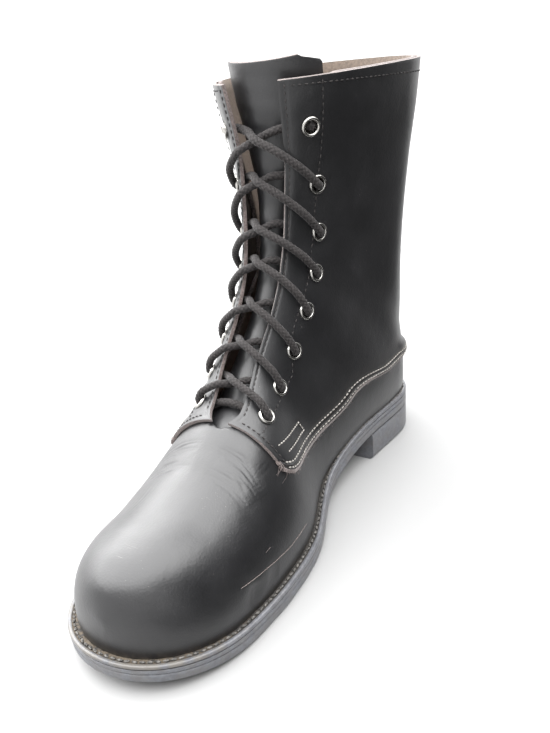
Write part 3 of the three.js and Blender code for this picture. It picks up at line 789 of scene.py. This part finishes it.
def build_quarter(name, side):
    def place(u, v):
        row, across = quarter_point(u, v, side)
        from_low, from_high = from_edges(row, across, side)
        from_front = (row - QUARTER_ROW) * ROW_AT_FRONT
        lift = hem_relief(from_low, min(from_front, from_high))
        return off_face(row, across, side, LAY + QUARTER + lift)

    def relaxed(u, v):
        row, across = quarter_point(u, v, side)
        from_low, from_high = from_edges(row, across, side)
        along = ease((row - 9.5) / 1.5) * (1 - ease((row - 15.5) / 1))
        return along * ease((from_low - 8) / 8) * ease((from_high - 6) / 8)

    bm = sheet(place, 200, 120, dust_and_braid_shade=lambda u, v, p: 0.25 * clamp(1 - v * 6, 0, 1), away=(0, -70, 80))
    ease_out(bm, relaxed, 160)
    for item in bm.faces:
        row, across = quarter_point(*spot(bm, item), side)
        if from_edges(row, across, side)[0] < RAW_BEVEL:
            item.material_index = 2
    for frame_row in EYELET_ROWS:
        centre = eyelet_matrix(frame_row, side, LAY + QUARTER).translation
        near = [f for f in bm.faces if (f.calc_center_median() - centre).length < EYELET_HOLE + 0.4]
        bmesh.ops.delete(bm, geom=near, context="FACES")
    looks = [CALF, LINING, SUEDE_EDGE]
    made = piece(f"quarter_{name}_leather", bm, looks, [f"quarter_{name}"])
    thicken(made, QUARTER, rim=2, inner=1, rounded_mm=0.35)


# Eyelets stand on a line beside the facing's edge.
def find_eyelet_rows():
    rows, walked, last, spots = 400, 0.0, None, []
    for i in range(rows + 1):
        row = mix(QUARTER_ROW, COLLAR, i / rows)
        here = face(row, facing(row, 1), 1)
        if last is not None:
            walked += (here - last).length
        last = here
        if len(spots) < EYELET_PAIRS and walked >= EYELET_FIRST + len(spots) * EYELET_PITCH:
            spots.append(row)
    return spots


def eyelet_matrix(row, side, distance):
    across = across_from_ridge(row, side, read(THROAT, "half", row) + EYELET_SET)
    normal = face_normal(row, across, side)
    turn = Vector((0, 0, 1)).rotation_difference(normal).to_matrix().to_4x4()
    return Matrix.Translation(off_face(row, across, side, distance)) @ turn


EYELET_ROWS = find_eyelet_rows()


def build_eyelet(name, side, index):
    """A rolled flange and the barrel under it."""
    middle = (EYELET_RADIUS + EYELET_HOLE) / 2
    reach = (EYELET_RADIUS - EYELET_HOLE) / 2
    outline = [(EYELET_HOLE, -QUARTER)]
    outline += [(middle - reach * math.cos(math.pi * k / 10), 0.15 + 1.15 * math.sin(math.pi * k / 10))
                for k in range(11)]
    outline += [(EYELET_HOLE + EYELET_BARREL, -0.1), (EYELET_HOLE + EYELET_BARREL, -QUARTER)]
    bm = spun(outline, 40, 0.001, closed=True)
    seat = eyelet_matrix(EYELET_ROWS[index], side, LAY + QUARTER + 0.1)
    bmesh.ops.transform(bm, matrix=seat, verts=bm.verts)
    bmesh.ops.recalc_face_normals(bm, faces=bm.faces)
    piece(f"nickel_eyelet_{name}_{index + 1}", bm, [NICKEL], [f"eyelet_{name}_{index + 1}"])


# Tongue and backstay.
def build_tongue():
    rows = (6.6, 17.6)

    def place(u, v):
        row = mix(rows[0], rows[1], u)
        signed = 2 * v - 1
        side = 1 if signed >= 0 else -1
        half = read(TONGUE_SHAPE, "half", row) * (1 - 0.25 * ease((u - 0.97) / 0.03) * signed * signed)
        across = across_from_ridge(row, side, half * abs(signed)) if abs(signed) > 1e-6 else 1.0
        ripple = 0.16 * math.sin(row * 5.3 + 3 * signed) * math.sin(row * 2.1) * ease(u * 4)
        return off_face(row, across, side, -read(TONGUE_SHAPE, "deep", row) + ripple - 0.35)

    bm = sheet(place, 120, 36, away=(0, -20, 60))
    made = piece("tongue_leather", bm, [SOFT_CALF, LINING, SUEDE_EDGE], ["tongue"])
    thicken(made, TONGUE - 0.5, rim=2, inner=1, rounded_mm=0.5)


def build_backstay():
    rows = (BACK_ROW + 0.1, COLLAR)

    def place(u, v):
        row = mix(rows[0], rows[1], u)
        signed = 2 * v - 1
        side = 1 if signed >= 0 else -1
        across = across_from_back(row, side, abs(signed) * BACKSTAY_WIDTH / 2)
        swell = 0.2 * math.exp(-((abs(signed) - 0.72) / 0.08) ** 2)
        return off_face(row, across, side, LAY + QUARTER + CLEAR + BACKSTAY - swell)

    bm = sheet(place, 90, 18, away=(0, -40, 130))
    made = piece("backstay_leather", bm, [CALF, CALF, SUEDE_EDGE], ["backstay"])
    thicken(made, BACKSTAY, rim=2, rounded_mm=0.3)


# Sole: layers lofted from the outline, each with its own edge profile.
def outline_turn(u):
    """Around the outline: the inner side from heel to toe, then the outer side back."""
    side = 1 if u < 0.5 else -1
    t = 2 * u if u < 0.5 else 2 - 2 * u
    return (1 - math.cos(math.pi * t)) / 2, side


def show_at(along):
    return mix(HEEL_SHOW, WELT_SHOW, ease((along / LENGTH - 0.25) / 0.4))


def build_layer(name, low, high, levels, node_name, span=(0.0, 1.0), count=170, grooves=None):
    """levels: (share of the height, inset) up the side. The top and the underside close across."""
    across = 14
    side_steps = len(levels)
    total = 2 * side_steps + 2 * across - 2

    def place(u, v):
        turn = mix(span[0], span[1], (1 - math.cos(math.pi * u)) / 2)
        k = round(v * total) % total
        if k < side_steps:
            level, spread = levels[k], 1.0
        elif k < side_steps + across - 1:
            level, spread = levels[-1], 1 - 2 * (k - side_steps + 1) / across
        elif k < 2 * side_steps + across - 1:
            level, spread = levels[2 * side_steps + across - 2 - k], -1.0
        else:
            level, spread = levels[0], -1 + 2 * (k - 2 * side_steps - across + 2) / across
        share, inset = level
        along, inner = sole_edge(turn, 1, inset)
        outer = sole_edge(turn, -1, inset)[1]
        bottom = low(along)
        x = mix(outer, inner, (spread + 1) / 2)
        return Vector((x, y_at(along), mix(bottom, high(along), share)))

    bm = sheet(place, count, total, dust_and_braid_shade=lambda u, v, p: 0.4, wrap=True)
    bmesh.ops.dissolve_degenerate(bm, edges=bm.edges, dist=0.003)
    close_ends(bm)
    bmesh.ops.recalc_face_normals(bm, faces=bm.faces)
    made = piece(name, bm, [RUBBER], [node_name], sharp=math.radians(30))
    if grooves:
        cut_away(made, groove_cutter(*grooves))


def close_ends(bm):
    """Fill whatever a loft leaves open at its ends."""
    rim = [edge for edge in bm.edges if len(edge.link_faces) == 1]
    if rim:
        bmesh.ops.holes_fill(bm, edges=rim, sides=0)


def groove_cutter(first, last, pitch, depth, sweep):
    """Chevron bars that stop short of the sole's edge, joined in one mesh."""
    width, rim = 3, 9
    bm = bmesh.new()
    along = first
    while along <= last:
        inner = sole_edge(along / LENGTH, 1, 0)[1] - rim
        outer = sole_edge(along / LENGTH, -1, 0)[1] + rim
        middle = (inner + outer) / 2
        y = y_at(along)
        base = -30
        top = (0 if along < HEEL_LENGTH else sole_bottom(along)) + depth
        corners = [(outer, y + sweep), (middle, y), (inner, y + sweep),
                   (inner, y + sweep + width), (middle, y + width), (outer, y + sweep + width)]
        verts = [bm.verts.new((x, yy, base)) for x, yy in corners]
        flat = bm.faces.new(verts)
        grown = bmesh.ops.extrude_face_region(bm, geom=[flat])["geom"]
        lifted = [item for item in grown if isinstance(item, bmesh.types.BMVert)]
        bmesh.ops.translate(bm, vec=(0, 0, top - base), verts=lifted)
        along += pitch
    bmesh.ops.recalc_face_normals(bm, faces=bm.faces)
    bmesh.ops.scale(bm, vec=(MM, MM, MM), verts=bm.verts)
    return as_object("tread_cutter", bm)


def cut_away(made, cutter):
    cut = made.modifiers.new("tread", "BOOLEAN")
    cut.operation = "DIFFERENCE"
    cut.solver = "EXACT"
    cut.object = cutter
    bpy.context.view_layer.update()
    result = bpy.data.meshes.new_from_object(made.evaluated_get(bpy.context.evaluated_depsgraph_get()))
    made.modifiers.clear()
    made.data = result
    bpy.data.objects.remove(cutter)


def rounded(inset, steps=4, low=None):
    """Side levels with a quarter round at the top, and one at the underside when low is given."""
    levels = []
    if low:
        share, reach = low
        for k in range(steps + 1):
            a = math.pi / 2 * k / steps
            levels.append((share * (1 - math.cos(a)), reach * (1 - math.sin(a))))
    else:
        levels.append((0.0, inset * 0.6))
        levels.append((0.12, 0.0))
    for k in range(steps + 1):
        a = math.pi / 2 * k / steps
        levels.append((0.8 + 0.2 * math.sin(a), inset * (1 - math.cos(a))))
    return levels


def build_sole():
    build_layer("rubber_outsole", sole_bottom, lambda a: sole_bottom(a) + OUTSOLE,
                rounded(0.6, low=(0.25, 2.0)), "outsole",
                grooves=(0.64 * LENGTH, 0.94 * LENGTH, 11, 2.2, 9))
    build_layer("rubber_heel", lambda a: 0.0, lambda a: sole_bottom(a) - CLEAR,
                rounded(0.5, low=(0.12, 2.2)), "heel", span=(0.0, BREAST), count=70,
                grooves=(0.3 * HEEL_LENGTH, 0.82 * HEEL_LENGTH, 13, 2.2, 5))
    build_layer("rubber_midsole", midsole_bottom, sole_top, rounded(0.45), "midsole")


def build_welt():
    """The rim outside is trimmed and rounded, and the stitches lie in a rough channel beside the upper."""
    profile = [(-0.3, 0.5), (0.0, 0.9), (0.05, 1.5), (0.35, 2.05), (0.9, 2.36), (1.6, WELT), (2.2, 2.3),
               (2.6, 1.95), (3.4, 1.75), (4.2, 1.9), (5.2, 2.05)]
    channel_from = 2.2

    def place(u, v):
        turn, side = outline_turn(u % 1.0)
        k = v * (len(profile) + 2)
        i = min(int(round(k)), len(profile) + 2)
        margin = show_at(LENGTH * turn)
        if i < len(profile):
            inset, height = profile[i]
            inset = inset * margin / WELT_SHOW if inset > channel_from else inset
            inset = max(inset, 0.0)
            if inset > channel_from:
                wobble = math.sin(u * 900) * math.sin(u * 517 + inset * 3)
                height += 0.22 * wobble
        elif i == len(profile):
            inset, height = margin + 0.2, 2.0
        elif i == len(profile) + 1:
            inset, height = margin + 0.2, 0.0
        else:
            inset, height = 0.35, 0.0
        along, x = sole_edge(turn, side, inset)
        return Vector((x, y_at(along), welt_bottom(along) + height))

    def toe_dust(u, v, point):
        return clamp((-point.y - 190) / 60, 0.15, 1)

    bm = sheet(place, 900, len(profile) + 2, dust_and_braid_shade=toe_dust, wrap=True)
    rim = 6.5 / (len(profile) + 2)
    for item in bm.faces:
        item.material_index = 1 if spot(bm, item)[1] < rim else 0
    piece("welt_strip", bm, [WELT_LEATHER, WELT_RIM], ["welt"], sharp=math.radians(70))


def build_insole():
    def place(u, v):
        turn = (1 - math.cos(math.pi * u)) / 2
        inset = show_at(LENGTH * turn) + WALL + 3 * CLEAR
        along, inner = sole_edge(turn, 1, inset)
        outer = sole_edge(turn, -1, inset)[1]
        dip = 0.5 * (1 - (2 * v - 1) ** 2)
        return Vector((mix(outer, inner, v), y_at(along), welt_bottom(along) + INSOLE - dip))

    bm = sheet(place, 90, 24, away=(0, -100, -50))
    made = piece("insole_leather", bm, [INSOLE_LEATHER], ["insole"])
    thicken(made, INSOLE - 0.6)


# Stitches: short thread lengths laid along a line on a surface.
def stitch_row(bm, line, pitch, length, radius, sink=0.3, sway=0.1):
    """line holds (point, normal) pairs; a stitch lies every pitch along it."""
    walked, want = 0.0, pitch / 2
    for (a, normal), (b, _) in zip(line, line[1:]):
        step = (b - a).length
        while step > 1e-6 and walked + step >= want:
            t = (want - walked) / step
            centre = a.lerp(b, t) + normal * radius * (1 - sink)
            lay_stitch(bm, centre, (b - a).normalized(), normal, length, radius, sway)
            want += pitch
        walked += step


def lay_stitch(bm, centre, along, normal, length, radius, sway):
    made = bmesh.ops.create_uvsphere(bm, u_segments=6, v_segments=5, radius=1)["verts"]
    across = normal.cross(along).normalized()
    along = (along + across * random.uniform(-sway, sway)).normalized()
    across = normal.cross(along).normalized()
    up = along.cross(across)
    turn = Matrix((along, across, up)).transposed().to_4x4()
    shape = Matrix.Diagonal((length / 2, radius, radius * 0.85, 1))
    bmesh.ops.transform(bm, matrix=Matrix.Translation(centre) @ turn @ shape, verts=made)


def on_face(points, distance):
    """Densely sampled (point, normal) pairs through (row, across, side) points."""
    line = []
    for (row_a, across_a, side), (row_b, across_b, _) in zip(points, points[1:]):
        for k in range(12):
            t = k / 12
            row, across = mix(row_a, row_b, t), mix(across_a, across_b, t)
            line.append((off_face(row, across, side, distance), face_normal(row, across, side)))
    return line


def rows_between(low, high, count):
    return [mix(low, high, k / (count - 1)) for k in range(count)]


def hem_line(side, inset):
    rows = rows_between(QUARTER_ROW + 0.12, BACK_ROW - 0.15, 40)
    return [(row, quarter_low(row, side) + inset / row_length(row, side), side) for row in rows]


def facing_line(side, inset, first=7.45, last=COLLAR - 0.1):
    rows = rows_between(first, last, 60)
    return [(row, facing(row, side) - inset / row_length(row, side), side) for row in rows]


def front_line(side, inset):
    row = QUARTER_ROW + inset / ROW_AT_FRONT
    high = facing(row + 0.2, side) - inset / row_length(row, side)
    low = quarter_low(row, side) + inset / row_length(row, side)
    return [(row, across, side) for across in rows_between(low, high, 12)]


# Pitch, stitch length and thread radius of each kind of seam.
HEM_SEAM = (2.9, 2.4, 0.5)
BOX_SEAM = (2.4, 2.0, 0.46)
FACING_SEAM = (3.1, 2.2, 0.34)
FRONT_SEAM = (3.1, 2.2, 0.36)
INNER_SEAM = (3.3, 2.2, 0.32)
PLAIN_SEAM = (3.1, 2.2, 0.32)
WELT_SEAM = (3.6, 3.2, 0.72)
SUNK = 0.25  # how far a tight seam draws its stitches in


def build_stitches():
    top = LAY + QUARTER
    dark, light = bmesh.new(), bmesh.new()
    for side in SIDES.values():
        for inset in HEM_ROWS:
            stitch_row(light, on_face(hem_line(side, inset), top - SUNK), *HEM_SEAM)
        stitch_row(dark, on_face(facing_line(side, FACE_STITCH), top - SUNK), *FACING_SEAM)
        stitch_row(dark, on_face(front_line(side, FACE_STITCH), top - SUNK), *FRONT_SEAM)
        inner_row = [(7.36, 0.72, side), (7.87, 0.67, side), (8.4, 0.6, side), (8.8, 0.585, side)]
        inner_row += [(row, facing(row, side) - 21 / row_length(row, side), side)
                      for row in rows_between(9.3, COLLAR - 0.1, 30)]
        stitch_row(dark, on_face(inner_row, top), *INNER_SEAM)
        box = [(7.42, 0.6, side), (8.27, 0.455, side), (8.29, 0.4, side), (7.5, 0.525, side)]
        stitch_row(light, on_face(box, top), *BOX_SEAM)
        collar = [(COLLAR - 0.22, across, side)
                  for across in rows_between(0.14, facing(16.8, side) - 0.03, 24)]
        stitch_row(dark, on_face(collar, top), *PLAIN_SEAM)
        stay = [(row, across_from_back(row, side, BACKSTAY_WIDTH / 2 - 2.8), side)
                for row in rows_between(BACK_ROW + 0.25, COLLAR - 0.1, 30)]
        stitch_row(dark, on_face(stay, top + CLEAR + BACKSTAY - 0.2), *PLAIN_SEAM)
    piece("dark_seam_stitches", dark, [THREAD_DARK])
    piece("light_seam_stitches", light, [THREAD_LIGHT])
    welt = bmesh.new()
    line = []
    for k in range(701):
        turn, side = outline_turn(k / 700 * 0.9999)
        along, x = sole_edge(turn, side, 3.5 * show_at(LENGTH * turn) / WELT_SHOW)
        line.append((Vector((x, y_at(along), welt_bottom(along) + 1.8)), Vector((0, 0, 1))))
    stitch_row(welt, line, *WELT_SEAM, sway=0.4)
    piece("welt_stitches", welt, [THREAD_WELT])


# Lace: one braided cord from top eyelet to top eyelet, round a bar at the lowest pair.
def lace_point(i, side, t, distance):
    row = mix(EYELET_ROWS[i], EYELET_ROWS[i + 1], t)
    x = (read(THROAT, "half", row) + EYELET_SET) * (1 - 2 * t)
    near = side if x >= 0 else -side
    return off_face(row, across_from_ridge(row, near, abs(x)), near, distance)


def lace_run(side):
    """From the lowest eyelet of one side up to the top, over one facing and under the next."""
    over_ring = LAY + QUARTER + 1.0 + LACE_RADIUS
    over_edge = LAY + QUARTER + 2 * CLEAR + LACE_RADIUS
    under = -LACE_RADIUS - CLEAR
    points = []
    here = side
    for i in range(EYELET_PAIRS - 1):
        stacked = LACE_RADIUS + 0.15 if (i % 2 == 0) == (side > 0) else -LACE_RADIUS - 0.15
        points.append(eyelet_matrix(EYELET_ROWS[i], here, 0.4).translation)
        points.append(eyelet_matrix(EYELET_ROWS[i], here, LAY + QUARTER + 1.4).translation)
        points.append(lace_point(i, here, 0.11, over_ring + 0.5))
        points.append(lace_point(i, here, 0.24, over_edge + 0.1))
        points.append(lace_point(i, here, 0.34, over_edge - 1.2))
        points.append(lace_point(i, here, 0.5, 0.2 + stacked))
        points.append(lace_point(i, here, 0.68, under))
        points.append(lace_point(i, here, 0.9, under))
        here = -here
    points.append(eyelet_matrix(EYELET_ROWS[-1], here, 0.4).translation)
    points.append(eyelet_matrix(EYELET_ROWS[-1], here, LAY + QUARTER + 0.6).translation)
    return points


def lace_bar():
    under = -LACE_RADIUS - CLEAR
    row = EYELET_ROWS[0] - 0.02
    reach = read(THROAT, "half", row) + EYELET_SET
    points = []
    for share in (-1, -0.5, 0, 0.5, 1):
        side = 1 if share >= 0 else -1
        across = across_from_ridge(row, side, abs(share) * reach * 0.8)
        points.append(off_face(row, across, side, under))
    return points


def smooth_path(points, step):
    """A Catmull-Rom curve through the points, resampled at equal steps."""
    dense = []
    for i in range(len(points) - 1):
        p0, p1 = points[max(i - 1, 0)], points[i]
        p2, p3 = points[i + 1], points[min(i + 2, len(points) - 1)]
        for k in range(16):
            t = k / 16
            dense.append(0.5 * ((2 * p1) + (p2 - p0) * t + (2 * p0 - 5 * p1 + 4 * p2 - p3) * t * t
                                + (3 * p1 - p0 - 3 * p2 + p3) * t ** 3))
    dense.append(points[-1])
    result, walked, want = [dense[0]], 0.0, step
    for a, b in zip(dense, dense[1:]):
        span = (b - a).length
        while span > 0 and walked + span >= want:
            result.append(a.lerp(b, (want - walked) / span))
            want += step
        walked += span
    return result, walked


def tube_frames(path):
    """Sections square to the path, carried along without twisting."""
    frames = []
    normal = Vector((1, 0, 0))
    for i, point in enumerate(path):
        tangent = (path[min(i + 1, len(path) - 1)] - path[max(i - 1, 0)]).normalized()
        normal = (normal - tangent * normal.dot(tangent)).normalized()
        frames.append((point, normal, tangent.cross(normal)))
    return frames


def braid_height(s, v):
    """Five yarns each way, each passing over and under the others, coarse enough to show."""
    yarns, pitch = 5, 12
    a = v * yarns + s / pitch * yarns
    b = v * yarns - s / pitch * yarns
    first_over = (math.floor(a) + math.floor(b)) % 2 == 0
    f = a % 1 if first_over else b % 1
    g = b % 1 if first_over else a % 1
    return math.sin(math.pi * f) ** 0.6 * (0.75 + 0.25 * math.sin(math.pi * g))


def build_lace():
    step = 0.42
    left, right = lace_run(-1), lace_run(1)
    path, length = smooth_path(list(reversed(left)) + lace_bar() + right, step)
    frames = tube_frames(path)
    last = len(frames) - 1
    around = 30

    def place(u, v):
        i = min(int(round(u * last)), last)
        point, normal, other = frames[i]
        end = min(i, last - i) * step
        radius = (LACE_RADIUS - 0.55 + 0.55 * braid_height(i * step, v)) * min(1, 0.35 + end / 1.5)
        angle = 2 * math.pi * v
        return point + (normal * math.cos(angle) + other * math.sin(angle)) * radius

    # The braid's height goes into the sheet's vertex attribute, where the lace's material paints it as
    # shade, darker in the gaps between yarns.
    def height(u, v, point):
        return braid_height(min(int(round(u * last)), last) * step, v)

    bm = sheet(place, last, around, dust_and_braid_shade=height, wrap=True)
    close_ends(bm)
    bmesh.ops.recalc_face_normals(bm, faces=bm.faces)
    nodes = ["lace_bar"] + [f"lace_cross_{i}" for i in range(1, EYELET_PAIRS)]
    piece("braided_lace", bm, [BRAID], nodes, sharp=math.radians(80))
    print(f"lace length {length:.0f} mm")


# Wear: fibres on the raw edges, loose threads at the corner, and scratches in the polish.
def strand(bm, points, radius):
    """A thin three-sided thread through a few points."""
    path, _ = smooth_path(points, max(radius * 3, 0.35))
    rings = []
    for i, (point, normal, other) in enumerate(tube_frames(path)):
        thin = radius * (1 - 0.6 * i / len(path))
        rings.append([bm.verts.new(point + normal * math.cos(a) * thin + other * math.sin(a) * thin)
                      for a in (0, 2.094, 4.189)])
    for low, high in zip(rings, rings[1:]):
        for k in range(3):
            bm.faces.new((low[k], low[(k + 1) % 3], high[(k + 1) % 3], high[k]))
    bm.faces.new(rings[0])
    bm.faces.new(rings[-1])


def build_wear():
    fray = bmesh.new()
    for side in SIDES.values():
        for _ in range(170 if side > 0 else 110):
            row = QUARTER_ROW + 0.05 + random.random() ** 1.3 * 5.2
            across = quarter_low(row, side)
            root = off_face(row, across + 0.002, side, LAY + QUARTER * random.uniform(0.4, 1.0))
            normal = face_normal(row, across, side)
            down = (face(row, across - 0.01, side) - face(row, across, side)).normalized()
            along = normal.cross(down)
            reach = random.uniform(0.5, 2.2)
            tip = root + down * reach + along * random.uniform(-0.8, 0.8)
            tip += normal * random.uniform(-0.1, 0.5)
            middle = root.lerp(tip, 0.5) + normal * random.uniform(0, 0.4)
            strand(fray, [root, middle, tip], random.uniform(0.06, 0.12))
    corner = face(QUARTER_ROW + 0.02, 0.56, 1)
    for dx, dy, dz, bend in ((2, -4, -7, 3), (5, -6, -10, 4), (9, -3, -9, -2), (-3, -5, -2, 2)):
        out = face_normal(QUARTER_ROW, 0.56, 1)
        start = corner + out * 2.6
        tip = face(QUARTER_ROW - 0.16, 0.5 + 0.01 * bend, 1) + out * 1.0 + Vector((0, dy * 0.2, dz * 0.1))
        middle = start.lerp(tip, 0.5) + out * 1.2 + Vector((dx * 0.3, 0, 0))
        strand(fray, [start, middle, tip], 0.14)
    piece("frayed_edge_fibres", fray, [SUEDE_EDGE])
    scratch = bmesh.new()
    marks = (
        ([(7.23, 0.18, 1), (6.5, 0.21, 1), (5.6, 0.27, 1), (4.71, 0.32, 1)], 0.13),
        ([(5.9, 0.34, 1), (5.7, 0.35, 1)], 0.07),
    )
    for points, radius in marks:
        length = random.uniform(2.4, 3.0)
        stitch_row(scratch, on_face(points, 0.02), 2.3, length, radius, sink=0.75, sway=0.08)
    piece("scratches_in_polish", scratch, [SCRAPE])


build_upper()
for side_name, side_sign in SIDES.items():
    build_quarter(side_name, side_sign)
    for number in range(EYELET_PAIRS):
        build_eyelet(side_name, side_sign, number)
build_backstay()
build_tongue()
build_insole()
build_sole()
build_welt()
build_stitches()
build_lace()
build_wear()


# Camera: the photo's angle, distance and roll, with a wider view that takes in the whole boot.
IMAGE_WIDTH, IMAGE_HEIGHT = 550, 733
CAMERA_TARGET = Vector((0, -150, 40))
CAMERA_AZIMUTH = math.radians(39.3)
CAMERA_ELEVATION = math.radians(33.3)
CAMERA_ROLL = math.radians(9.1)
CAMERA_DISTANCE = 402.3
PHOTO_FOCAL = 1315.8
WIDENED = 0.555
TARGET_X, TARGET_Y = 225, 485


def build_camera():
    a, e, roll = CAMERA_AZIMUTH, CAMERA_ELEVATION, CAMERA_ROLL
    right = Vector((math.cos(a), math.sin(a), 0))
    back = Vector((math.sin(a) * math.cos(e), -math.cos(a) * math.cos(e), math.sin(e)))
    up = back.cross(right)
    cam_right = right * math.cos(roll) - up * math.sin(roll)
    cam_up = right * math.sin(roll) + up * math.cos(roll)
    data = bpy.data.cameras.new("photo_camera")
    data.sensor_width = 36
    data.lens = PHOTO_FOCAL * WIDENED * data.sensor_width / IMAGE_HEIGHT
    data.shift_x = (IMAGE_WIDTH / 2 - TARGET_X) / IMAGE_HEIGHT
    data.shift_y = (TARGET_Y - IMAGE_HEIGHT / 2) / IMAGE_HEIGHT
    data.clip_start = 0.01
    camera = bpy.data.objects.new("photo_camera", data)
    turn = Matrix((cam_right, cam_up, back)).transposed().to_4x4()
    camera.matrix_world = Matrix.Translation((CAMERA_TARGET + back * CAMERA_DISTANCE) * MM) @ turn
    bpy.context.collection.objects.link(camera)
    bpy.context.scene.camera = camera


def white_paper():
    """Matt paper, lit to white; the sweep round it glows a little, so that no horizon shows."""
    made, tree, shader = material("white_paper", Base_Color=colour("909090"), Roughness=0.95,
                                  Emission_Color=(1.0, 1.0, 1.0, 1.0))
    where = node(tree, "ShaderNodeTexCoord").outputs["Object"]
    split = node(tree, "ShaderNodeSeparateXYZ", {0: where}).outputs
    squares = [calc(tree, "POWER", split[axis], 2.0) for axis in ("X", "Y")]
    out = calc(tree, "SQRT", calc(tree, "ADD", *squares))
    low = calc(tree, "MULTIPLY_ADD", ramp(tree, split["Z"], 2.6, 0.9), 0.5)
    low.node.inputs[2].default_value = 0.5
    glow = calc(tree, "MULTIPLY", ramp(tree, out, 0.8, 2.0), low)
    tree.links.new(glow, shader.inputs["Emission Strength"])
    return made


def build_stage():
    """A round sheet of paper, in metres, that bends up into a wall all round."""
    flat, bend, wall = 2.4, 0.8, 4.0
    outline = [(0.0, 0.0), (flat * 0.5, 0.0)]
    outline += [(flat + bend * math.sin(a), bend * (1 - math.cos(a))) for a in
                [math.pi / 2 * k / 12 for k in range(13)]]
    outline.append((flat + bend, wall))
    bm = spun(outline, 64, 0.0005)
    for item in bm.faces:
        item.smooth = True
    floor = as_object("floor", bm)
    floor.data.materials.append(white_paper())


def area_light(name, place, target, size, power):
    data = bpy.data.lights.new(name, "AREA")
    data.shape = "RECTANGLE"
    data.size, data.size_y = size
    data.energy = power
    light = bpy.data.objects.new(name, data)
    light.location = place
    light.rotation_euler = (Vector(target) - Vector(place)).to_track_quat("-Z", "Y").to_euler()
    bpy.context.collection.objects.link(light)


def build_lights():
    world = bpy.data.worlds.new("studio")
    world.use_nodes = True
    world.node_tree.nodes["Background"].inputs["Color"].default_value = (1, 1, 1, 1)
    world.node_tree.nodes["Background"].inputs["Strength"].default_value = 0.35
    bpy.context.scene.world = world
    area_light("ceiling_softbox", (-0.45, -0.3, 1.25), (-0.3, -0.3, 0), (2.4, 3.4), 185)
    area_light("window_behind", (-1.1, 1.3, 1.05), (0, -0.15, 0.08), (1.9, 0.85), 30)
    area_light("window_beside", (-1.7, -0.1, 0.6), (0, -0.15, 0.08), (1.5, 0.9), 14)


def build_cards():
    """Two black cards beside the inner side, seen only in the gloss, keep it dark."""
    black = material("black_card", Base_Color=colour("050505"), Roughness=1.0)[0]
    near, far, wide, tall = 0.085, 0.62, (-0.4, 0.9), 0.55
    lying = ((near, 0.004), (far, 0.004))
    standing = ((far, 0.004), (far, tall))
    for name, ends in (("lying_card", lying), ("standing_card", standing)):
        bm = bmesh.new()
        corners = [bm.verts.new((x, y, z)) for (x, z), y in
                   ((ends[0], wide[0]), (ends[1], wide[0]), (ends[1], wide[1]), (ends[0], wide[1]))]
        bm.faces.new(corners)
        card = as_object(name, bm)
        card.data.materials.append(black)
        card.visible_camera = False
        card.visible_diffuse = False
        card.visible_shadow = False
        card.visible_transmission = False


build_camera()
build_stage()
build_lights()
build_cards()
bpy.context.scene.view_settings.view_transform = "Standard"
